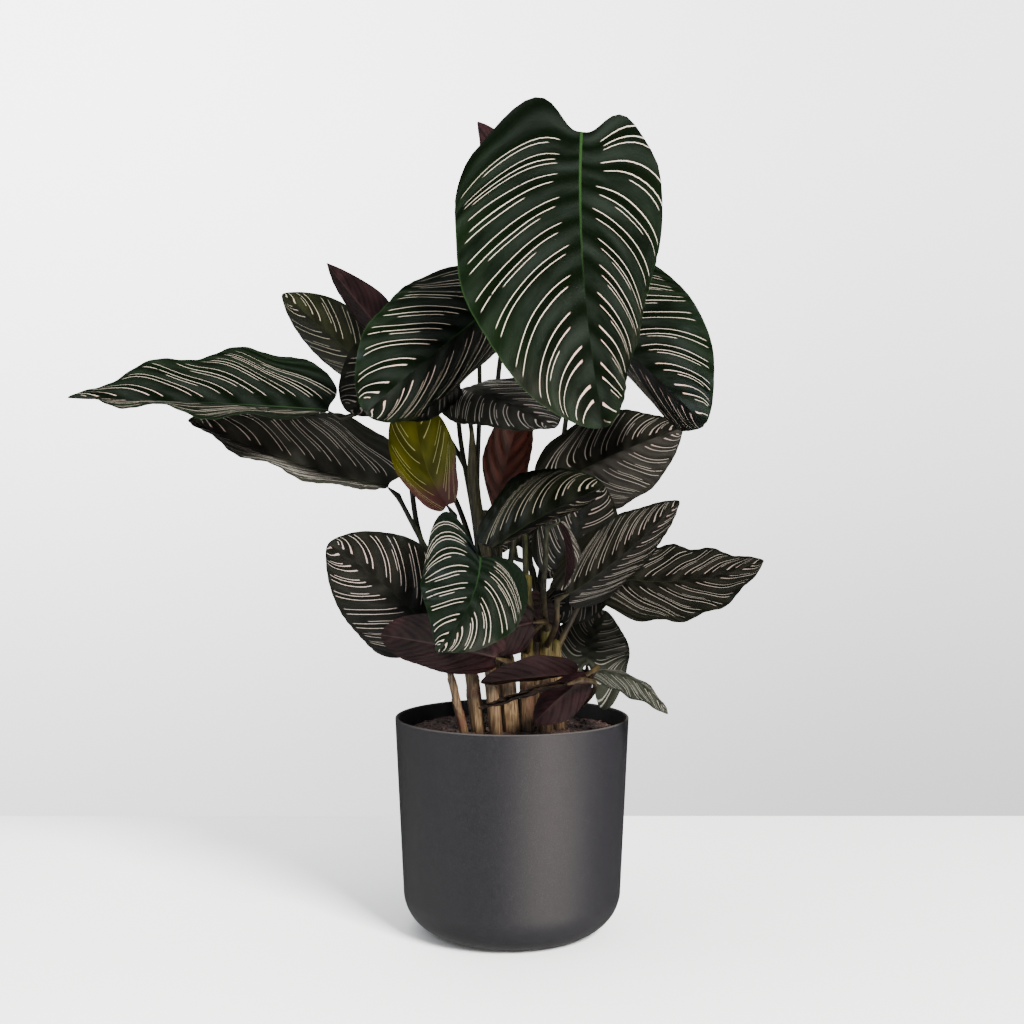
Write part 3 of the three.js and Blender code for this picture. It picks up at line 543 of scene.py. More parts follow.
# %% Leaves
USUAL_LEAF = dict(
    outline=(1, 1.4, 0.9), ear=0, fold=(5, 5), curl=(-10, -10), wave=(2, 3, 0), past=(),
    arrive=0.3, pairs=8, crowd=0, sweep=(1.6, 1.6), early=1, look="dusky")
LEAVES = {
    "crown_front": dict(
        base=(62, -70, 729), via=(60, -135, 590), tip=(76, -150, 460),
        face=((0, -0.87, 0.49), (0.62, -0.78, 0.1)), width=216, outline=(1, 1.8, 0.8),
        lobes=(68, 60), fold=(-5, -15), curl=(-15, -40), wave=(3, 3, 0), shoot="middle",
        start=0.7, past=((9, 0, 421), (20, 8, 480), (46, 20, 620), (60, -14, 702)), arrive=1,
        pairs=12, sweep=(1.1, 0.2), early=-0.5, look="deep"),
    "crown_right": dict(
        base=(60, 60, 590), via=(110, -20, 537), tip=(169, -85, 467),
        face=((-0.66, -0.69, 0.33), (-0.3, -0.75, 0.4)), width=162, outline=(1, 1.2, 0.9),
        lobes=(-10, 50), fold=(-60, 0), curl=(-40, -12), wave=(3, 3, 0.2), shoot="middle_right",
        start=0.8, past=((12, 14, 400), (17, 24, 465), (42, 70, 530), (60, 84, 575)), arrive=0.6,
        pairs=9, look="deep"),
    "crown_left": dict(
        base=(-6, -35, 588), via=(-66, -95, 530), tip=(-124, -128, 474),
        face=((0.1, -0.75, 0.5), (0.1, -0.75, 0.5)), width=140, outline=(1, 1.5, 0.8),
        lobes=(35, 30), fold=(5, -60), curl=(-10, -50), wave=(2.5, 3, 0.2), shoot="middle",
        start=0.8, past=((-14, 6, 420), (-14, 22, 510), (-8, -8, 572)), arrive=1,
        sweep=(1.4, 1.4), look="deep"),
    "left_boat": dict(
        base=(-54, 22, 539), via=(-104, -9, 509), tip=(-151, -42, 482),
        face=((-0.1, -0.6, 0.8), (-0.1, -0.6, 0.8)), width=128, outline=(0.8, 1.5, 0.8),
        lobes=(15, -12), fold=(18, -5), curl=(15, 0), wave=(3, 2, 0.1), shoot="front",
        start=0.85, past=((-35, -12, 380), (-50, 0, 470)), arrive=0.8),
    "left_long": dict(
        base=(-169, -30, 484), via=(-285, -42, 490), tip=(-401, -55, 493),
        face=((0, -0.6, 0.8), (0, -0.55, 0.85)), width=165, outline=(1, 1.2, 1.2),
        lobes=(18, 2), fold=(12, 26), curl=(-8, -5), wave=(5, 3, 0.1), shoot="left_front",
        start=0.8, past=((-86, -2, 364), (-96, 2, 420), (-101, 2, 462), (-128, -10, 484)),
        arrive=0.4, sweep=(1.9, 1.9), look="deep"),
    "left_low": dict(
        base=(-116, -8, 414), via=(-206, -14, 437), tip=(-300, -25, 475),
        face=((0.1, -0.35, 0.93), (0.1, -0.35, 0.93)), width=140, outline=(1, 1.4, 1),
        lobes=(25, 2), fold=(30, 12), curl=(5, 0), wave=(3, 3, 0.3), shoot="left_front",
        start=0.95, past=((-80, -20, 356),), arrive=0.4, sweep=(1.9, 1.9),
        look="shaded"),
    "upper_left_small": dict(
        base=(-139, 70, 527), via=(-184, 70, 569), tip=(-229, 65, 607),
        face=((-0.1, -0.95, 0.1), (-0.1, -0.95, 0.1)), width=71, outline=(0.9, 1.4, 1),
        lobes=(10, 5), fold=(5, -35), curl=(0, -20), wave=(1.5, 2, 0), shoot="back_left",
        start=0.9, past=((-55, 54, 400), (-106, 74, 480)), pairs=5, look="olive"),
    "upper_left_dark": dict(
        base=(-113, 48, 550), via=(-149, 42, 593), tip=(-180, 34, 632),
        face=((0.3, 0.9, 0.3), (0.3, 0.9, 0.3)), width=51, outline=(0.9, 1.2, 1.2),
        lobes=(10, 5), fold=(20, 10), curl=(30, 0), wave=(1, 2, 0), shoot="back_left",
        start=0.95, past=((-40, 40, 420), (-80, 50, 490)), pairs=6),
    "under_crown": dict(
        base=(-40, 2, 509), via=(-2, -40, 489), tip=(38, -80, 464),
        face=((0, -0.25, 0.95), (0, -0.25, 0.95)), width=108, outline=(1, 1.4, 1),
        lobes=(5, 5), fold=(-5, 10), curl=(-20, 0), wave=(2, 2, 0), shoot="back_left",
        start=0.98, past=((-32, 24, 400), (-38, 26, 460)), arrive=0.6, look="shaded"),
    "right_upper": dict(
        base=(62, 55, 427), via=(110, 68, 451), tip=(172, 80, 475),
        face=((-0.1, -0.85, 0.5), (-0.1, -0.85, 0.5)), width=102, outline=(1, 1.4, 1),
        lobes=(30, 40), fold=(-35, 5), shoot="back_right",
        start=0.9, past=((40, 50, 375),), arrive=0.5),
    "front_rolled": dict(
        base=(-16, -122, 360), via=(32, -118, 390), tip=(80, -108, 412),
        face=((-0.3, -0.95, 0), (-0.3, -0.9, 0.3)), width=112, outline=(0.6, 1.4, 0.9),
        lobes=(-4, 14), fold=(-85, 0), curl=(-30, -45), wave=(1.5, 2, 0), shoot="front",
        start=0.97, past=((-16, -60, 340), (-18, -88, 362)), arrive=0.8, pairs=6,
        sweep=(1.3, 3.0), look="faint"),
    "front_heart": dict(
        base=(-27, -112, 351), via=(-36, -138, 312), tip=(-62, -158, 275),
        face=((0, -0.75, 0.65), (0, -0.95, 0.3)), width=100, outline=(1, 1, 1.1),
        lobes=(58, 8), ear=1, fold=(0, -10), curl=(-20, -38), shoot="front",
        start=0.9, past=((-28, -66, 316),), arrive=0.7, pairs=7, crowd=1.8, sweep=(0.8, 1.4),
        early=0, look="fresh"),
    "lower_left": dict(
        base=(-67, -56, 277), via=(-117, -50, 325), tip=(-168, -42, 361),
        face=((0.1, -0.95, 0.25), (0.1, -0.95, 0.25)), width=106,
        lobes=(25, 8), fold=(0, 0), curl=(-5, -45), wave=(2, 3, 0.5), shoot="left",
        start=0.8, look="rosy"),
    "lower_purple": dict(
        base=(-15, -70, 261), via=(-65, -88, 274), tip=(-114, -95, 283),
        face=((0, 0.9, 0.4), (0, 0.9, 0.4)), width=60, outline=(1, 1.6, 0.7),
        lobes=(12, 12), curl=(10, 10), wave=(1.5, 2, 0), shoot="front",
        start=0.5, past=((-8, -60, 250),), arrive=0.1, pairs=7),
    "lower_right": dict(
        base=(88, 0, 330), via=(165, 5, 325), tip=(239, 5, 344),
        face=((0, -0.65, 0.75), (0, -0.65, 0.75)), width=98, outline=(1, 1.3, 1.15),
        lobes=(25, 25), fold=(0, 5), curl=(-10, -5), wave=(3, 4, 0), shoot="right",
        start=0.9, past=((62, -2, 300),), pairs=9),
    "right_front": dict(
        base=(51, -72, 317), via=(100, -60, 352), tip=(153, -42, 400),
        face=((-0.2, -0.8, 0.5), (-0.2, -0.8, 0.5)), width=82, outline=(1, 1.3, 1),
        lobes=(10, 15), fold=(-80, 5), wave=(1.5, 3, 0), shoot="right_front",
        start=0.8, past=((40, -56, 290),), pairs=9, sweep=(1.8, 2.2)),
    "right_inner": dict(
        base=(45, -8, 335), via=(62, -4, 375), tip=(84, 2, 418),
        face=((-0.3, -0.9, 0.2), (-0.3, -0.9, 0.2)), width=84,
        lobes=(12, 12), fold=(-5, -5), wave=(1.5, 2, 0), shoot="back_right",
        start=0.9),
    "right_low_inner": dict(
        base=(80, 30, 338), via=(62, 24, 312), tip=(38, 20, 286),
        face=((0, -0.8, 0.6), (0, -0.8, 0.6)), width=62,
        lobes=(12, 12), fold=(-5, -5), wave=(1.5, 2, 0), shoot="back_right",
        start=0.8, past=((56, 48, 318),), arrive=0.9, pairs=6),
    "low_round": dict(
        base=(72, 22, 243), via=(79, 40, 268), tip=(94, 55, 292),
        face=((-0.1, -0.85, 0.5), (-0.1, -0.85, 0.5)), width=80,
        lobes=(52, 48), fold=(-5, -5), curl=(-15, -15), wave=(1.5, 2, 0), shoot="back_right",
        start=0.15, past=((46, 40, 218), (62, 46, 234)), arrive=0.9, pairs=7, look="pale"),
    "low_curled": dict(
        base=(70, -54, 246), via=(109, -66, 240), tip=(138, -76, 211),
        face=((0.1, -0.35, 0.93), (0.3, -0.35, 0.93)), width=38, outline=(0.8, 1.4, 1),
        lobes=(5, 5), fold=(-15, -10), curl=(-40, -20), wave=(1.5, 3, 0), shoot="right",
        start=0.5, past=((60, -34, 242),), arrive=0.2, look="pale"),
    "low_dark": dict(
        base=(58, -42, 243), via=(20, -60, 242), tip=(-28, -70, 238),
        face=((0, 0.75, 0.65), (0, 0.75, 0.65)), width=40, outline=(0.9, 1.4, 0.9),
        lobes=(6, 6), fold=(20, 20), curl=(20, 20), wave=(1, 2, 0), shoot="right",
        start=0.3, past=((58, -26, 234),), arrive=0.4, look="plum"),
    "low_purple": dict(
        base=(66, -76, 244), via=(42, -84, 226), tip=(20, -86, 205),
        face=((0.3, 0.85, -0.3), (0.3, 0.85, -0.3)), width=40, outline=(0.8, 1.6, 0.8),
        lobes=(5, 5), fold=(15, 15), curl=(15, 15), wave=(1, 2, 0), shoot="right",
        start=0.2, past=((60, -32, 224), (66, -62, 235)), arrive=0.1, pairs=6, look="plum"),
    "withered": dict(
        base=(48, -96, 241), via=(10, -99, 230), tip=(-29, -100, 220),
        face=((0.2, -0.5, 0.8), (0.5, -0.8, 0.2)), width=18, outline=(0.7, 1.3, 1),
        lobes=(2, 2), fold=(50, 50), curl=(60, 60), wave=(0.8, 3, 0), shoot="right",
        start=0.12, past=((68, -40, 218), (72, -84, 240)), arrive=0, look="withered"),
    "yellow": dict(
        base=(-60, -22, 396), via=(-82, -24, 440), tip=(-90, -16, 490),
        face=((-0.1, -0.9, 0.3), (-0.1, -0.9, 0.3)), width=68, outline=(0.7, 2, 0.7),
        lobes=(6, 6), fold=(15, 15), curl=(15, 40), wave=(1, 2, 0), shoot="left_front",
        start=0.95, past=((-52, -24, 350),), arrive=0.1, pairs=3, sweep=(2.4, 2.4),
        look="yellow"),
    "spear": dict(
        base=(-16, -14, 390), via=(-5, -10, 436), tip=(8, -4, 484),
        face=((0, -0.9, 0.2), (0, -0.9, 0.2)), width=64, outline=(0.3, 1.6, 0.8),
        lobes=(2, 2), fold=(20, 20), curl=(50, 50), wave=(0.5, 2, 0), shoot="middle",
        start=0.9, arrive=0, pairs=6, look="spear"),
    "narrow_dark": dict(
        base=(41, -118, 381), via=(47, -116, 352), tip=(43, -112, 322),
        face=((0.9, -0.3, 0.2), (0.9, -0.3, 0.2)), width=26, outline=(0.7, 1.4, 1),
        lobes=(3, 3), fold=(40, 40), curl=(20, 20), wave=(0.8, 2, 0), shoot="right_front",
        start=0.95, past=((28, -72, 316), (29, -102, 350)), arrive=1, pairs=6),
    "inner_left_dark": dict(
        base=(18, -52, 290), via=(-6, -62, 284), tip=(-32, -66, 272),
        face=((0.2, 0.9, 0.1), (0.2, 0.9, 0.1)), width=50,
        lobes=(6, 6), curl=(10, 10), wave=(1, 2, 0), shoot="middle_right",
        start=0.5, past=((16, -36, 275),), arrive=0.1, pairs=6, look="plum"),
    "inner_right_dark": dict(
        base=(8, 6, 302), via=(24, 8, 288), tip=(40, 8, 266),
        face=((-0.2, 0.9, 0.2), (-0.2, 0.9, 0.2)), width=44,
        lobes=(6, 6), curl=(10, 10), wave=(1, 2, 0), shoot="middle",
        start=0.6, past=((-3, -8, 288),), arrive=0.1, pairs=6),
    "back_crown": dict(
        base=(44, 36, 560), via=(8, 40, 690), tip=(-34, 50, 774),
        face=((0.2, 0.9, 0.3), (0.2, 0.9, 0.3)), width=82, outline=(1, 1.3, 1.1),
        lobes=(12, 12), fold=(8, 8), curl=(0, 0), shoot="back_right",
        start=0.98, past=((9, 44, 400), (10, 46, 470), (30, 36, 530)), arrive=0.1,
        pairs=9, look="deep"),
    "back_right": dict(
        base=(70, 95, 640), via=(90, 155, 610), tip=(105, 195, 520),
        face=((0.2, 0.5, 0.8), (0.3, 0.8, 0.3)), width=115,
        lobes=(22, 22), wave=(3, 3, 0), shoot="back_right",
        start=0.95, past=((36, 56, 375), (50, 90, 450), (64, 102, 560)), arrive=0.5,
        look="deep"),
    "back_left": dict(
        base=(-35, 60, 560), via=(-85, 115, 550), tip=(-130, 150, 490),
        face=((-0.3, 0.4, 0.8), (-0.5, 0.7, 0.5)), width=110,
        lobes=(20, 20), wave=(3, 3, 0), shoot="back_left",
        start=0.85, past=((-34, 52, 400), (-32, 58, 500)), arrive=0.6, look="deep"),
    "back_low_right": dict(
        base=(52, 76, 326), via=(98, 124, 350), tip=(124, 170, 330),
        face=((0.1, 0, 1), (0.5, 0.5, 0.7)), width=95,
        lobes=(18, 18), shoot="back_right",
        start=0.6, past=((36, 58, 296),), arrive=0.4, pairs=7),
    "back_low_left": dict(
        base=(-35, 55, 300), via=(-75, 105, 325), tip=(-105, 150, 305),
        face=((-0.1, 0, 1), (-0.5, 0.5, 0.7)), width=95,
        lobes=(18, 18), shoot="back_left",
        start=0.5, past=((-28, 45, 275),), arrive=0.4, pairs=7),
    "back_mid": dict(
        base=(4, 84, 356), via=(6, 140, 390), tip=(8, 190, 368),
        face=((0, 0, 1), (0, 0.6, 0.8)), width=84,
        lobes=(18, 18), shoot="back_right",
        start=0.85, past=((20, 52, 335),), arrive=0.4, pairs=7),
}
LEAVES = {name: {**USUAL_LEAF, **leaf} for name, leaf in LEAVES.items()}
print(len(SHOOTS), "shoots and", len(LEAVES), "leaves planned")

# %% [markdown]
# ## Blades
#
# A calathea blade is a thin sheet hung on its midrib. Side veins leave the midrib and sweep
# forward to the margin, and everything else follows them: the stripes, the soft pleats and the
# scallops of the margin. So the mesh is a grid laid along those veins. Its first number, u, says
# where a vein leaves the midrib, and its second, v, how far out along that vein a point is. The
# same pair becomes the UV map that the stripes are drawn on.

# %% The midrib
SHOULDER_END = 0.3
GRID_LEAN = 0.26  # how far the grid's rows reach forward by the margin, in blade lengths
GRID_BEND = 1.8
LEAN_FADE = 0.7
LOBE_FADE = 0.12
NOTCH_OPEN = 1.2
WAVE_REACH = 2.2
WAVE_STOP = 0.25
WAVE_LAG = 0.35


def unit(vectors):
    """Vectors of length one."""
    return vectors / np.linalg.norm(vectors, axis=-1, keepdims=True)


def midrib(leaf, along):
    """Place and three directions (ahead, right, up) at distances along the midrib."""
    base, via, tip = (np.array(leaf[key], float) * MM for key in ("base", "via", "tip"))
    control = 2 * via - (base + tip) / 2
    steps = np.linspace(0, 1, 401)[:, None]
    curve = (1 - steps) ** 2 * base + 2 * steps * (1 - steps) * control + steps ** 2 * tip
    walked = np.concatenate([[0], np.cumsum(np.linalg.norm(np.diff(curve, axis=0), axis=1))])
    length = walked[-1]
    step = np.interp(np.clip(along, 0, length), walked, steps[:, 0])[..., None]
    place = (1 - step) ** 2 * base + 2 * step * (1 - step) * control + step ** 2 * tip
    ahead = unit((1 - step) * (control - base) + step * (tip - control))
    place = place + ahead * np.minimum(along, 0)[..., None]
    share = np.clip(along / length, 0, 1)[..., None]
    face = (1 - share) * np.array(leaf["face"][0], float) + share * np.array(leaf["face"][1], float)
    right = unit(np.cross(ahead, face))
    return place, ahead, right, np.cross(right, ahead), length


# %% A point of the blade
def grid_ahead(u, v):
    """How far forward a grid row has come, in blade lengths."""
    return u + GRID_LEAN * (1 - u).clip(0) ** LEAN_FADE * v ** GRID_BEND


def blade_points(leaf, u, signed):
    """Points of the sheet for shares u of the midrib and signed shares v of the way out."""
    v = np.abs(signed)
    left = signed < 0

    def pick(key):
        return np.where(left, leaf[key][1], leaf[key][0]).astype(float)

    length = midrib(leaf, np.zeros(1))[4]
    shoulder_width, bulge, point = leaf["outline"]
    rise = 1 - (1 - shoulder_width) * np.maximum(0, 1 - u / SHOULDER_END) ** 2
    share = rise * np.cos(math.pi / 2 * u ** bulge).clip(0) ** point
    lobe = np.exp(-u / LOBE_FADE)
    ear = leaf["ear"]
    arch = np.sin(math.pi * v).clip(0) ** (1 + (1 - ear) * NOTCH_OPEN * (1 - v) ** 2)
    slender = v * ((1 - np.cos(math.pi * v)) / 2 - v)
    reach = v + lobe * (slender + (np.sin(math.pi * v / 2) - v - slender) * ear)
    along = length * grid_ahead(u, v) - pick("lobes") * MM * lobe * arch
    half = leaf["width"] * MM / 2
    out = half * share * reach
    start = np.radians(pick("fold"))
    curl = pick("curl")
    bend = np.radians(np.where(np.abs(curl) < 0.5, 0.5, curl)) / half
    sideways = (np.sin(start + bend * out) - np.sin(start)) / bend
    lift = (np.cos(start) - np.cos(start + bend * out)) / bend
    height, count, phase = leaf["wave"]
    fade = v ** WAVE_REACH * np.minimum(1, (1 - u) / WAVE_STOP)
    turns = count * along / length + phase + WAVE_LAG * left
    lift = lift + height * MM * fade * np.sin(2 * math.pi * turns)
    place, _, right, up, _ = midrib(leaf, along)
    sideways = np.where(left, -sideways, sideways)
    return place + right * sideways[..., None] + up * lift[..., None], out, length


# %% [markdown]
# The grid's rows carry the outline, but real side veins sweep further forward, and the more so
# towards the tip, where they run almost beside the midrib. A leaf's own sweep multiplies the
# reach at its base. Each vein has an even course, so the vein that passes a point is found by
# halving: too far back or too far ahead, thirty times over. On a heart-shaped base more veins
# crowd in, to fan out over the lobe.

# %% The vein through each point
SWEEP_BASE, SWEEP_TIP = 0.26, 0.85  # how far a vein reaches forward, as a share of what is left
SWEEP_FROM, SWEEP_TO = 0.15, 0.70  # where along the midrib the reach grows from one to the other
SWEEP_MOST = 0.88
SWEEP_BEND = 1.25
BEFORE_MIDRIB = -0.4  # the furthest back that a vein can start
HALVINGS = 30
CLOSE_AT_BASE, CLOSER_TO_TIP = 1.2, -0.35  # pairs lie closer at the base than at the tip
CROWD_REACH = 0.08


def vein_share(leaf, u, signed):
    """The share of the midrib at which each point's vein leaves it."""
    v = np.abs(signed)
    ahead = grid_ahead(u, v)
    right, left = leaf["sweep"]
    further = np.where(signed < 0, left, right)
    first = further * SWEEP_BASE
    last = SWEEP_TIP * np.minimum(1, (1 + further) / 2)
    low, high = np.full_like(u, BEFORE_MIDRIB), np.ones_like(u)
    for _ in range(HALVINGS):
        middle = (low + high) / 2
        grown = np.clip((middle - SWEEP_FROM) / (SWEEP_TO - SWEEP_FROM), 0, 1)
        sweep = (1 - middle) * np.minimum(first + (last - first) * grown, SWEEP_MOST)
        behind = middle + sweep * v ** SWEEP_BEND < ahead
        low, high = np.where(behind, middle, low), np.where(behind, high, middle)
    return (low + high) / 2


def pair_number(leaf, share):
    """Counts the pairs of stripes along the midrib."""
    crowded = leaf["crowd"] * (1 - np.exp(-share / CROWD_REACH))
    even = leaf["pairs"] * share * (CLOSE_AT_BASE + CLOSER_TO_TIP * share)
    return even + crowded + leaf["early"]


# %% [markdown]
# Three small reliefs make the sheet a leaf: pleats between the side veins, a shallow groove over
# the midrib with a round rib beneath it, and a scallop in the margin at each pair of veins. They
# are all well under a millimetre and a half, so the leaf keeps the place and size of its solid.

# %% Blade mesh
BLADE_THICK = 0.0007
PLEAT = 0.0007
SCALLOP = 0.0004
RIB = 0.0011
SIDE_COLUMNS = 22
PITCH_UNIT = 0.030  # the length of midrib that a usual pair takes
ROWS_PER_PAIR, MORE_ROWS = 9, 12
GROOVE_WIDTH = 0.0018
CRUMPLE = 0.0012  # of the withered leaf


def grid_normals(points):
    """Upward normals of a grid of points."""
    down_rows = np.gradient(points, axis=0)
    across = np.gradient(points, axis=1)
    normals = np.cross(across, down_rows)
    size = np.linalg.norm(normals, axis=-1, keepdims=True)
    return normals / np.maximum(size, 1e-12)


def blade_mesh(name, leaf):
    """The closed blade: an upper and a lower sheet that meet at the margin."""
    rows = ROWS_PER_PAIR * leaf["pairs"] + MORE_ROWS
    steps = np.arange(rows) / rows
    u = steps * (0.6 + 0.4 * steps)
    columns = (1 - np.cos(math.pi * np.arange(SIDE_COLUMNS + 1) / SIDE_COLUMNS)) / 2
    signed = np.concatenate([-columns[:0:-1], columns])
    grid_u, grid_v = np.meshgrid(u, signed, indexing="ij")
    points, out, length = blade_points(leaf, grid_u, grid_v)
    normals = grid_normals(points)
    size = min(1, leaf["width"] / 120)
    v = np.abs(grid_v)
    share = vein_share(leaf, grid_u, grid_v)
    number = pair_number(leaf, share)
    fade = np.minimum(1, v / 0.25) * (1 - v ** 8) * np.minimum(1, (1 - grid_u) / 0.1)
    relief = size * PLEAT * fade * np.cos(2 * math.pi * number)
    relief += size * SCALLOP * v ** 7 * np.sin(2 * math.pi * (1.3 * leaf["pairs"] * grid_u
                                                             + leaf["wave"][2]))
    middle = np.exp(-(out / GROOVE_WIDTH) ** 2) * (1 - grid_u)
    if leaf["look"] == "withered":
        relief += CRUMPLE * np.sin(23 * grid_u + 3 * grid_v) * np.cos(41 * grid_u)
    thick = BLADE_THICK * (1 - 0.5 * v ** 6)
    upper = points + normals * (relief + thick / 2 - 0.4 * RIB * middle)[..., None]
    lower = points + normals * (relief - thick / 2 - RIB * middle)[..., None]
    tip = np.array(leaf["tip"], float) * MM
    across = 2 * SIDE_COLUMNS + 1
    flat = np.concatenate([upper.reshape(-1, 3), [tip], lower.reshape(-1, 3), [tip - [0, 0, 1e-4]]])
    under = rows * across + 1
    faces, slots = [], []

    def add(corners, slot):
        faces.append(corners)
        slots.append(slot)

    for row in range(rows - 1):
        for col in range(across - 1):
            near = row * across + col
            far = near + across
            add((near, near + 1, far + 1, far), 0)
            add((near + under, far + under, far + 1 + under, near + 1 + under), 1)
    last, end = (rows - 1) * across, rows * across
    for col in range(across - 1):
        add((last + col, last + col + 1, end), 0)
        add((last + col + under, end + under, last + col + 1 + under), 1)
    margin = [*range(across - 1, 0, -1), *(row * across for row in range(rows)), end,
              *(row * across + across - 1 for row in range(rows - 1, 0, -1))]
    for first, second in zip(margin, margin[1:] + margin[:1]):
        add((first, second, second + under, first + under), 0)

    mesh = mesh_from(name, flat, faces)
    mesh.polygons.foreach_set("material_index", slots)
    corner = np.empty(len(mesh.loops), int)
    mesh.loops.foreach_get("vertex_index", corner)
    pitch = length / leaf["pairs"] / PITCH_UNIT
    last_number = pair_number(leaf, np.ones(1))[0]
    maps = {"veins": (number, grid_v, (last_number, 0)),
            "blade": (grid_u, np.full_like(grid_u, pitch), (1, pitch))}
    for label, (first, second, at_tip) in maps.items():
        one_face = np.concatenate([np.stack([first, second], -1).reshape(-1, 2), [at_tip]])
        layer = mesh.uv_layers.new(name=label)
        layer.data.foreach_set("uv", np.concatenate([one_face, one_face])[corner].ravel())
    mesh.set_sharp_from_angle(angle=math.radians(55))
    return mesh


# %% [markdown]
# ## Leaf finishes
#
# The upper face is a very dark green with a wax gloss. Its stripes are pairs of hair-thin cream
# lines that lie along the side veins. The UV map named veins counts one for each pair, so the
# remainder after the whole number says where a point is within its pair, and two narrow bands of
# that remainder are the two lines. The whole number seeds a random value, and with it each pair
# starts, ends, shifts and breaks in its own way. Close to the midrib the lines are broader and
# pinker, above all towards the tip.

# %% Striped upper face
PAIR_GAP = 0.145  # from the middle of a pair to each of its lines, in pairs
THIRD_LINE = 0.17  # some pairs have a third, shorter line this much further on
LINE_HALF = 0.0108  # half a line's width, in pairs of the usual pitch
LINE_SOFT = 0.0065
LINE_WIDENS = 0.016  # how much a line gains close to the midrib, towards the tip
PAIR_MIDDLE = 0.47
SIDE_SHIFT = 0.45  # the right side's pairs start this much later than the left side's


def line_at(tree, within, middle, half):
    """A soft-edged line at one place within the pair."""
    off = maths(tree, "ABSOLUTE", minus(tree, within, middle))
    return ramp(tree, minus(tree, half, off), -LINE_SOFT, LINE_SOFT)


def from_to(tree, value, first, last, soft=0.035):
    """A mask that is 1 between two values, with soft ends."""
    begins = ramp(tree, minus(tree, value, first), 0.0, soft)
    return times(tree, begins, ramp(tree, minus(tree, last, value), 0.0, soft))


def pinstripes(tree, veins, along, pitch, v, side, wander):
    """Pairs of thin lines, each pair with its own start, end, spacing and breaks."""
    count = plus(tree, veins[0], scaled(tree, wander, 0.24, -0.12))
    count = plus(tree, count, times(tree, side, SIDE_SHIFT))
    seed = add_node(tree, "ShaderNodeCombineXYZ", {0: maths(tree, "FLOOR", count), 1: side})
    random = add_node(tree, "ShaderNodeTexWhiteNoise", {"Vector": seed.outputs[0]},
                      noise_dimensions="3D")
    chance = add_node(tree, "ShaderNodeSeparateColor", {0: random.outputs["Color"]}).outputs
    within = minus(tree, maths(tree, "FRACT", count), PAIR_MIDDLE)
    within = plus(tree, within, scaled(tree, chance[0], 0.12, -0.06))
    gap = scaled(tree, chance[1], 0.05, PAIR_GAP - 0.025)
    broad = times(tree, ramp(tree, v, 0.6, 0.15),
                  ramp(tree, along, 0.45, 0.95))
    half = scaled(tree, broad, LINE_WIDENS, LINE_HALF)
    half = times(tree, half, scaled(tree, wander, 0.5, 0.75))
    half = maths(tree, "DIVIDE", half, pitch)
    first = scaled(tree, chance[2], 0.08, 0.10)
    last = scaled(tree, chance[0], -0.07, 0.96)
    back = line_at(tree, within, times(tree, gap, -1.0), half)
    back = times(tree, back, from_to(tree, v, first, last))
    front = line_at(tree, within, gap, half)
    front = times(tree, front, from_to(tree, v, plus(tree, first, 0.035), last))
    third = line_at(tree, within, plus(tree, gap, THIRD_LINE), times(tree, half, 0.85))
    third = times(tree, third, from_to(
        tree, v, plus(tree, first, times(tree, chance[1], 0.3)),
        scaled(tree, chance[0], 0.3, 0.65)))
    third = times(tree, third, maths(tree, "GREATER_THAN", chance[2], 0.45))
    return maths(tree, "MAXIMUM", maths(tree, "MAXIMUM", back, front), third), count


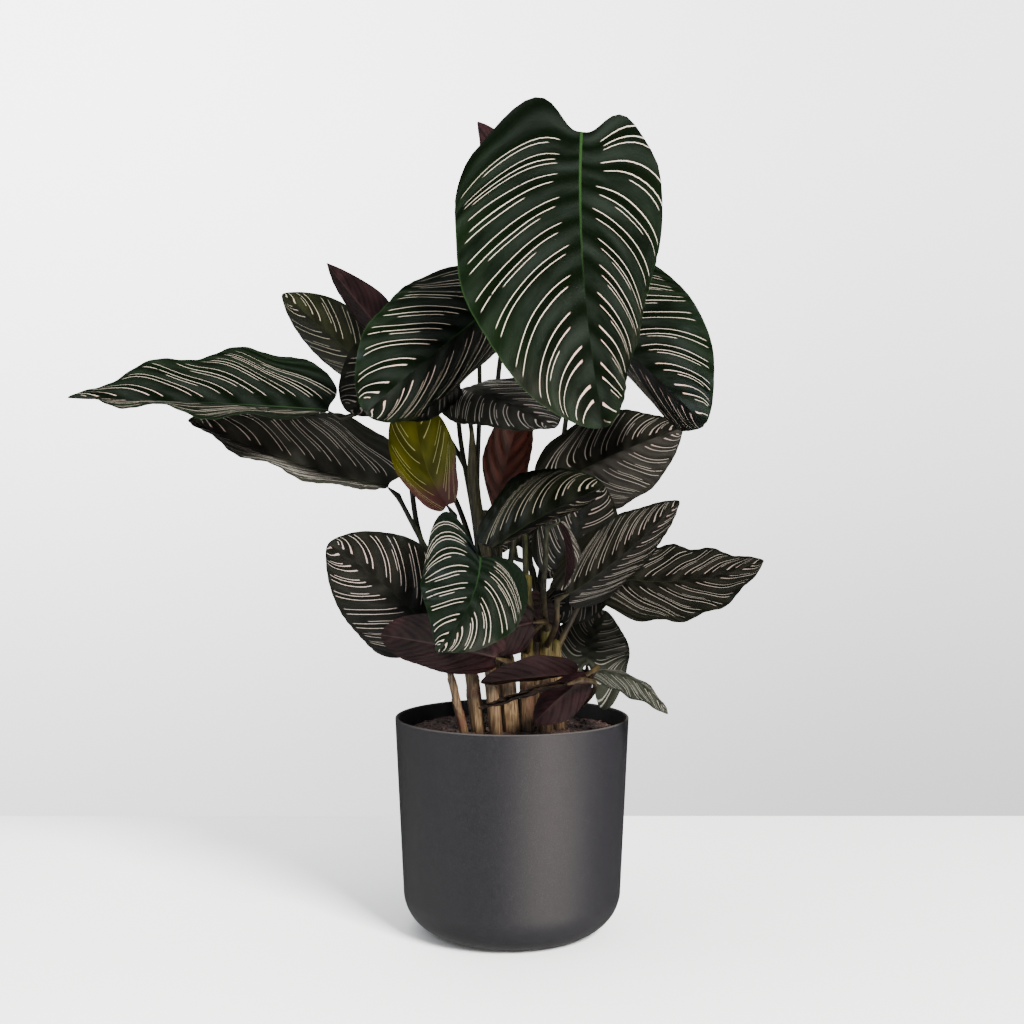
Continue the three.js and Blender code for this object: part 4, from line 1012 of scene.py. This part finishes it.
def striped_look(name, dark, crest_tone_and_sheen, rib, line, blush, roughness, strength=1.0, foot=None, shine=0.3):
    """The upper face: dark green, pleats paler by tone and painted sheen, green midrib, cream-pink
    pinstripes.
    """
    material, tree, shader = new_material(name)
    vein_map = add_node(tree, "ShaderNodeUVMap", uv_map="veins").outputs[0]
    blade_map = add_node(tree, "ShaderNodeUVMap", uv_map="blade").outputs[0]
    place = object_place(tree)
    veins = axes_of(tree, vein_map)
    along, pitch, _ = axes_of(tree, blade_map)
    v = maths(tree, "ABSOLUTE", veins[1])
    side = maths(tree, "GREATER_THAN", veins[1], 0.0)
    wander = noise_value(tree, stretch(tree, vein_map, (0.6, 1.1, 1)), 1.0)
    lines, count = pinstripes(tree, veins, along, pitch, v, side, wander)
    crossing = noise_value(tree, stretch(tree, vein_map, (3.0, 7.0, 1)), 1.0, 3.0)
    lines = times(tree, lines, ramp(tree, crossing, 0.27, 0.31))
    lines = times(tree, lines, from_to(tree, veins[0], 0.10, 60.0, 0.1))
    lines = times(tree, lines, ramp(tree, along, 0.985, 0.96))

    # The pleat crests are painted paler: partly the leaf's own tone, partly a painted sheen.
    turn = maths(tree, "COSINE", times(tree, count, 2 * math.pi))
    pleat = scaled(tree, turn, 0.5, 0.5)
    mottle = noise_value(tree, stretch(tree, vein_map, (1.1, 1.7, 1)), 1.0, 3.0)
    green = blend(tree, times(tree, pleat, ramp(tree, mottle, 0.25, 0.7)), dark, crest_tone_and_sheen)
    outer = times(tree, ramp(tree, v, 0.45, 1.0), ramp(tree, mottle, 0.3, 0.6))
    green = blend(tree, times(tree, outer, 0.4), green, tuple(0.33 * part for part in rib))
    rim = ramp(tree, v, 0.985, 0.996)
    green = blend(tree, times(tree, rim, 0.5), green, rib)
    rib_half = scaled(tree, along, -0.008, 0.0135)
    ribbed = ramp(tree, maths(tree, "DIVIDE", v, rib_half), 1.1, 0.6)
    fading = ramp(tree, along, 0.7, 0.1)
    green = blend(tree, times(tree, ribbed, fading), green, rib)
    if foot:
        green = blend(tree, ramp(tree, along, 0.30, 0.12), green, foot)
    warm = ramp(tree, v, 0.6, 0.15)
    cream = blend(tree, times(tree, warm, ramp(tree, along, 0.1, 0.9)), line, blush)
    feed(tree, shader, "Base Color",
         blend(tree, times(tree, lines, strength), green, cream))
    gloss = scaled(tree, mottle, 0.22, roughness - 0.11)
    feed(tree, shader, "Roughness", gloss)
    shader.inputs["Specular IOR Level"].default_value = shine
    fine = noise_value(tree, stretch(tree, vein_map, (26.0, 3.0, 1)), 1.0, 2.0)
    cells = noise_value(tree, place, 900.0, 2.0)
    add_bump(tree, shader, scaled(tree, cells, 0.3, fine), 0.22, 0.0008)
    return material


# %% [markdown]
# The lower face is matt burgundy. The same side veins show on it as slightly darker lines, with
# fine cross noise between them, and the rib is paler.

# %% Purple lower face
VEIN_TURNS = 12.566  # two full turns of the wave for each pair, so one for each side vein


def lower_look(name, deep, light, rib, roughness=0.5):
    """The lower face: burgundy with faint veins."""
    material, tree, shader = new_material(name)
    veins = add_node(tree, "ShaderNodeUVMap", uv_map="veins").outputs[0]
    place = object_place(tree)
    count, signed, _ = axes_of(tree, veins)
    v = maths(tree, "ABSOLUTE", signed)
    wave = maths(tree, "COSINE", times(tree, count, VEIN_TURNS))
    patch = noise_value(tree, place, 45.0, 4.0)
    share = scaled(tree, wave, 0.22, ramp(tree, patch, 0.25, 0.75))
    purple = blend(tree, share, deep, light)
    middle = ramp(tree, v, 0.045, 0.02)
    feed(tree, shader, "Base Color", blend(tree, middle, purple, rib))
    feed(tree, shader, "Roughness", scaled(tree, patch, 0.2, roughness - 0.1))
    shader.inputs["Specular IOR Level"].default_value = 0.25
    fine = noise_value(tree, stretch(tree, veins, (30.0, 4.0, 1)), 1.0, 2.0)
    add_bump(tree, shader, fine, 0.3, 0.0008)
    return material


# %% The finishes of all leaves
# The colour of a finish's pleats is partly the leaf's tone and partly painted sheen.
GREENS = {  # the ground, its pleats, the midrib, the lines, the lines at the midrib, roughness
    "deep": ((0.0006, 0.0016, 0.0004), (0.0062, 0.0086, 0.0062), (0.0085, 0.0240, 0.0055),
             (0.31, 0.27, 0.22), (0.32, 0.21, 0.18), 0.34),
    "fresh": ((0.0010, 0.0024, 0.0009), (0.0050, 0.0072, 0.0050), (0.006, 0.016, 0.005),
              (0.205, 0.182, 0.150), (0.205, 0.155, 0.130), 0.36),
    "olive": ((0.0038, 0.0045, 0.0012), (0.0100, 0.0115, 0.0038), (0.010, 0.018, 0.004),
              (0.27, 0.25, 0.18), (0.25, 0.20, 0.15), 0.38),
    "faint": ((0.0005, 0.0008, 0.0002), (0.0032, 0.0038, 0.0020), (0.003, 0.007, 0.002),
              (0.105, 0.095, 0.072), (0.105, 0.088, 0.066), 0.36),
    "dusky": ((0.0017, 0.0016, 0.0010), (0.0060, 0.0058, 0.0042), (0.0045, 0.0068, 0.0025),
              (0.112, 0.100, 0.086), (0.112, 0.080, 0.069), 0.40),
    # The next finish is a much paler copy of the leaf for leaves that lie in shade: painted fill
    # light.
    "shaded": ((0.0125, 0.0125, 0.0095), (0.0340, 0.0340, 0.0270), (0.0150, 0.0210, 0.0090),
               (0.60, 0.55, 0.48), (0.55, 0.42, 0.38), 0.42),
    "rosy": ((0.0026, 0.0025, 0.0016), (0.0080, 0.0077, 0.0058), (0.0080, 0.0110, 0.0040),
             (0.235, 0.195, 0.170), (0.235, 0.165, 0.148), 0.40),
    "pale": ((0.0062, 0.0070, 0.0048), (0.0195, 0.0205, 0.0155), (0.0110, 0.0150, 0.0070),
             (0.105, 0.100, 0.085), (0.095, 0.085, 0.070), 0.40),
}
burgundy = lower_look("leaf_underside", (0.0050, 0.0017, 0.0020), (0.0165, 0.0056, 0.0063),
                      (0.022, 0.011, 0.010))
finishes = {name: (striped_look("leaf_" + name, *colors), burgundy, "leaf")
            for name, colors in GREENS.items()}
finishes |= {
    "yellow": (striped_look("leaf_yellow", (0.0240, 0.0245, 0.0001), (0.0620, 0.0600, 0.0006),
                            (0.060, 0.055, 0.004), (0.300, 0.285, 0.110), (0.270, 0.235, 0.080),
                            0.5, 1.0, (0.045, 0.017, 0.015), 0.12),
               lower_look("yellow_underside", (0.021, 0.0075, 0.0070), (0.050, 0.021, 0.018),
                          (0.070, 0.045, 0.022)), "yellow"),
    "spear": (striped_look("leaf_spear", (0.0270, 0.0065, 0.0045), (0.0760, 0.0200, 0.0125),
                           (0.030, 0.020, 0.006), (0.070, 0.045, 0.030), (0.060, 0.030, 0.022),
                           0.45, 0.4),
              lower_look("spear_underside", (0.0075, 0.0024, 0.0018), (0.0200, 0.0062, 0.0045),
                         (0.030, 0.020, 0.006)), "spear"),
    "withered": (lower_look("leaf_withered", (0.0025, 0.0016, 0.0012), (0.0130, 0.0075, 0.0045),
                            (0.018, 0.011, 0.006), 0.8),
                 lower_look("withered_underside", (0.0025, 0.0016, 0.0012), (0.010, 0.006, 0.004),
                            (0.015, 0.010, 0.006), 0.8), "withered"),
}
plum = lower_look("dark_underside", (0.0024, 0.0009, 0.0011), (0.0082, 0.0030, 0.0036),
                  (0.0120, 0.0060, 0.0055))
finishes["plum"] = (finishes["dusky"][0], plum, "leaf")
print(len(finishes), "leaf finishes")

# %% Make the leaves
faces_made = 0
for name, leaf in LEAVES.items():
    blade = new_object("blade_" + name, blade_mesh("blade_" + name, leaf))
    upper_face, lower_face, slot = finishes[leaf["look"]]
    blade.data.materials.append(upper_face)
    blade.data.materials.append(lower_face)
    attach(blade, "root")
    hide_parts("leaf_" + name)
    faces_made += len(blade.data.polygons)
print(len(LEAVES), "blades with", faces_made, "faces")

# %% [markdown]
# ## Shoots and stalks
#
# Each shoot is a bundle of old leaf sheaths wrapped round one another, tan and fibrous at the
# foot. From it rise thin round stalks, each ending in a short swollen knee under its blade. A
# stalk follows a path, which is what Geometry Nodes are good at: the path's points carry a
# radius, and the tree sweeps a circle along them.

# %% A tree that sweeps stalks
def sweep_tree():
    """Turns edges into curves and sweeps a circle along them, scaled by each point's radius."""
    tree, start, end = start_tree("sweep_stalks", [
        ("Sides", "NodeSocketInt", 12), ("Material", "NodeSocketMaterial", None)])
    path = add_node(tree, "GeometryNodeMeshToCurve", {"Mesh": start.outputs["Geometry"]})
    radius = add_node(tree, "GeometryNodeInputNamedAttribute", {"Name": "stalk_radius"},
                      data_type="FLOAT").outputs[0]
    sized = add_node(tree, "GeometryNodeSetCurveRadius",
                     {"Curve": path.outputs[0], "Radius": radius})
    ring = add_node(tree, "GeometryNodeCurvePrimitiveCircle",
                    {"Resolution": start.outputs["Sides"], "Radius": 1.0})
    swept = add_node(tree, "GeometryNodeCurveToMesh",
                     {"Curve": sized.outputs[0], "Profile Curve": ring.outputs[0]})
    swept.inputs["Fill Caps"].default_value = True
    if "Scale" in swept.inputs:
        tree.links.new(radius, swept.inputs["Scale"])
    smooth = add_node(tree, "GeometryNodeSetShadeSmooth", {"Geometry": swept.outputs[0]})
    end_tree(tree, smooth.outputs[0], start, end)
    return tree


# %% The path of a stalk
STALK_FOOT = 0.0030
STALK_TOP = 0.0021
STALK_END = 0.0010
STALK_STRAIGHT = 0.012
STALK_CLEAR = 0.00065
KNEE_LENGTH = 0.020
KNEE_SWELL = 0.0009
STALK_SIDES = 12
SOIL_LEVEL = 185


def smooth_path(points, count):
    """A smooth curve through the points, with knots spaced by the root of their distance."""
    points = np.array(points, float)
    ends = [2 * points[0] - points[1], *points, 2 * points[-1] - points[-2]]
    path = []
    for a, b, c, d in zip(ends, ends[1:], ends[2:], ends[3:]):
        gaps = [max(np.linalg.norm(q - p), 1e-9) ** 0.5 for p, q in ((a, b), (b, c), (c, d))]
        out_b = ((b - a) / gaps[0] - (c - a) / (gaps[0] + gaps[1]) + (c - b) / gaps[1]) * gaps[1]
        in_c = ((c - b) / gaps[1] - (d - b) / (gaps[1] + gaps[2]) + (d - c) / gaps[2]) * gaps[1]
        for t in np.linspace(0, 1, count, endpoint=False):
            path.append((2 * t ** 3 - 3 * t ** 2 + 1) * b + (t ** 3 - 2 * t ** 2 + t) * out_b
                        + (-2 * t ** 3 + 3 * t ** 2) * c + (t ** 3 - t ** 2) * in_c)
    return np.array([*path, points[-1]])


def stalk_path(leaf):
    """Points and radii of a leaf's stalk, from its shoot to just under the midrib."""
    place, ahead, right, up, _ = (part[0] if np.ndim(part) else part
                                  for part in midrib(leaf, np.zeros(1)))
    fold_a, fold_b = np.radians(leaf["fold"])
    tilt = (fold_b - fold_a) / 2
    between = up * math.cos(tilt) + right * math.sin(tilt)
    arrival = unit(ahead * (1 - leaf["arrive"]) + between * leaf["arrive"])
    half = math.pi / 2 + min(0, (fold_a + fold_b) / 2)
    slant = max(np.linalg.norm(np.cross(arrival, between)), 1 / math.tan(half))
    end = place - between * (STALK_CLEAR / math.sin(half) + STALK_END * slant)
    last = end - arrival * STALK_STRAIGHT
    foot, top, _ = SHOOTS[leaf["shoot"]]
    foot = np.array([*foot, SOIL_LEVEL], float) * MM
    start = foot + (np.array(top, float) * MM - foot) * leaf["start"]
    curve = smooth_path([start, *(np.array(spot, float) * MM for spot in leaf["past"]), last], 14)
    points = np.concatenate([curve, [end]])
    walked = np.concatenate([[0], np.cumsum(np.linalg.norm(np.diff(points, axis=0), axis=1))])
    radius = STALK_FOOT + (STALK_TOP - STALK_FOOT) * walked / walked[-1]
    left = walked[-1] - walked
    radius = radius + KNEE_SWELL * np.exp(-((left - KNEE_LENGTH / 2) / (KNEE_LENGTH / 3)) ** 2)
    radius[-1] = STALK_END
    return points, radius


# %% Sheathed shoot
SHOOT_SUNK = 0.018
SHOOT_STEPS = ((-1, 1), (0, 1), (0.4, 1.02), (0.44, 0.86), (0.75, 0.9), (0.79, 0.74), (1, 0.7))
SHEATH_EDGES = (0.405, 0.755)  # shares of the height at which a sheath ends in a lip
SHEATH_LIP = 0.0007
LIP_SOFT = 0.012
SHOOT_SIDES = 40
SHOOT_ROWS = 90


def tube_faces(rows, sides, low, high):
    """The faces of a tube of rings, closed by a fan round a point at each end."""
    faces = []
    for side in range(sides):
        after = (side + 1) % sides
        for row in range(rows - 1):
            near, far = row * sides, (row + 1) * sides
            faces.append((near + side, near + after, far + after, far + side))
        last = (rows - 1) * sides
        faces.append((low, after, side))
        faces.append((high, last + side, last + after))
    return faces


def shoot_mesh(name, foot, top, radius):
    """A tall wrapped stem whose sheath edges run slanting round it."""
    foot = np.array([*foot, SOIL_LEVEL], float) * MM
    top = np.array(top, float) * MM
    shares = np.linspace(-1, 1, SHOOT_ROWS)
    angles = np.linspace(0, 2 * math.pi, SHOOT_SIDES, endpoint=False)
    turned = rng.uniform(0, 2 * math.pi, 4)
    points = []
    known = np.array(SHOOT_STEPS)
    for share in shares:
        middle = foot + (top - foot) * share if share > 0 else foot + [0, 0, SHOOT_SUNK * share]
        slant = share + 0.10 * np.cos(angles - turned[0] - 5 * max(share, 0))
        wrap = np.interp(slant, known[:, 0], known[:, 1])
        edge = sum(np.exp(-((slant - spot) / LIP_SOFT) ** 2) for spot in SHEATH_EDGES)
        ridge = 0.030 * np.sin(9 * angles + turned[1]) + 0.022 * np.sin(17 * angles + turned[2])
        wide = radius * MM * (wrap * (1 + ridge)) + SHEATH_LIP * edge
        wide = wide * (1 + 0.10 * np.cos(2 * (angles - turned[3])))
        ring = np.stack([np.cos(angles) * wide, np.sin(angles) * wide, np.zeros_like(wide)], -1)
        points.extend(middle + ring)
    low, high = len(points), len(points) + 1
    points += [foot - [0, 0, SHOOT_SUNK + 0.001], top + [0, 0, 0.003]]
    return mesh_from(name, points, tube_faces(SHOOT_ROWS, SHOOT_SIDES, low, high))


def long_sheath_mesh(name, sheath):
    """An old sheath that has sprung from its shoot: ridged, flat at one side, blunt at the end."""
    foot, top, _ = SHOOTS[sheath["shoot"]]
    foot = np.array([*foot, SOIL_LEVEL], float) * MM
    start = foot + (np.array(top, float) * MM - foot) * sheath["start"]
    path = smooth_path([start, *(np.array(spot, float) * MM for spot in sheath["past"])], 20)
    angles = np.linspace(0, 2 * math.pi, SHOOT_SIDES, endpoint=False)
    ahead = unit(np.gradient(path, axis=0))
    across = unit(np.cross(ahead, [0, 1, 0]))
    other = np.cross(ahead, across)
    points = []
    for step, middle in enumerate(path):
        share = step / (len(path) - 1)
        ridge = 0.05 * np.sin(7 * angles + 3 * share) + 0.03 * np.sin(15 * angles + 1)
        flat = 1 - 0.25 * share * (1 - np.cos(angles - 1)) / 2
        narrow = 1 if share < 0.66 else 1 - 0.67 * ((share - 0.66) / 0.34) ** 1.5
        wide = sheath["radius"] * MM * narrow * flat * (1 + ridge)
        points.extend(middle + across[step] * (np.cos(angles) * wide)[:, None]
                      + other[step] * (np.sin(angles) * wide)[:, None])
    low, high = len(points), len(points) + 1
    points += [path[0], path[-1]]
    return mesh_from(name, points, tube_faces(len(path), SHOOT_SIDES, low, high))


# %% [markdown]
# Sheaths are straw-coloured and fibrous low down, flushed with pink in patches, and olive higher
# up. Stalks are a dull dark green that reddens towards the shoot. The colour follows the height
# above the soil, and a noise squeezed sideways draws the fibres.

# %% Shoot finishes
sheath_look, tree, shader = new_material("sheath")
place = object_place(tree)
fibres = noise_value(tree, stretch(tree, place, (900, 900, 40)), 1.0, 3.0)
patches = noise_value(tree, stretch(tree, place, (60, 60, 24)), 1.0, 3.0)
rise = axes_of(tree, place)[2]
straw = blend(tree, ramp(tree, fibres, 0.33, 0.70), (0.034, 0.019, 0.010), (0.120, 0.078, 0.040))
straw = blend(tree, ramp(tree, patches, 0.52, 0.66), straw, (0.048, 0.020, 0.014))
olive = blend(tree, ramp(tree, fibres, 0.35, 0.68), (0.013, 0.012, 0.003), (0.038, 0.032, 0.008))
aged = blend(tree, ramp(tree, rise, 0.225, 0.275), straw, olive)
# Below the rim's height the sheaths turn darker towards the soil.
darker_towards_soil = ramp(tree, rise, 0.198, 0.182)
feed(tree, shader, "Base Color", blend(tree, darker_towards_soil, aged, (0.016, 0.009, 0.006)))
shader.inputs["Roughness"].default_value = 0.55
add_bump(tree, shader, fibres, 0.5, 0.0012)

stalk_look, tree, shader = new_material("stalk")
place = object_place(tree)
streaks = noise_value(tree, stretch(tree, place, (300, 300, 30)), 1.0, 3.0)
rise = axes_of(tree, place)[2]
green, russet = (blend(tree, ramp(tree, streaks, 0.35, 0.65), dark, light) for dark, light in (
    ((0.0045, 0.0055, 0.0026), (0.0130, 0.0140, 0.0060)),
    ((0.0100, 0.0060, 0.0032), (0.0260, 0.0180, 0.0070))))
feed(tree, shader, "Base Color", blend(tree, ramp(tree, rise, 0.26, 0.36), russet, green))
shader.inputs["Roughness"].default_value = 0.45
add_bump(tree, shader, streaks, 0.3, 0.0008)

# %% Make the shoots
sweep = sweep_tree()
for name, (foot, top, radius) in SHOOTS.items():
    spots, sizes, edges = [], [], []
    for leaf in LEAVES.values():
        if leaf["shoot"] == name:
            path, widths = stalk_path(leaf)
            first = len(spots)
            spots.extend(path)
            sizes.extend(widths)
            edges.extend((first + step, first + step + 1) for step in range(len(path) - 1))
    lines = bpy.data.meshes.new("paths_" + name)
    lines.from_pydata([tuple(spot) for spot in spots], edges, [])
    lines.attributes.new("stalk_radius", "FLOAT", "POINT").data.foreach_set("value", sizes)
    values = {"Sides": STALK_SIDES, "Material": stalk_look}
    stalks = new_object("stalks_" + name, run_tree("stalks_" + name, lines, sweep, values))
    sheaths = new_object("sheaths_" + name, shoot_mesh("sheaths_" + name, foot, top, radius))
    sheaths.data.materials.append(sheath_look)
    pieces = [stalks, sheaths]
    if LONG_SHEATH["shoot"] == name:
        pieces.append(new_object("long_sheath", long_sheath_mesh("long_sheath", LONG_SHEATH)))
        pieces[-1].data.materials.append(sheath_look)
    for piece in pieces:
        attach(piece, "root")
        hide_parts("shoot_" + name)
    print(name, "with", len(edges), "stalk steps")
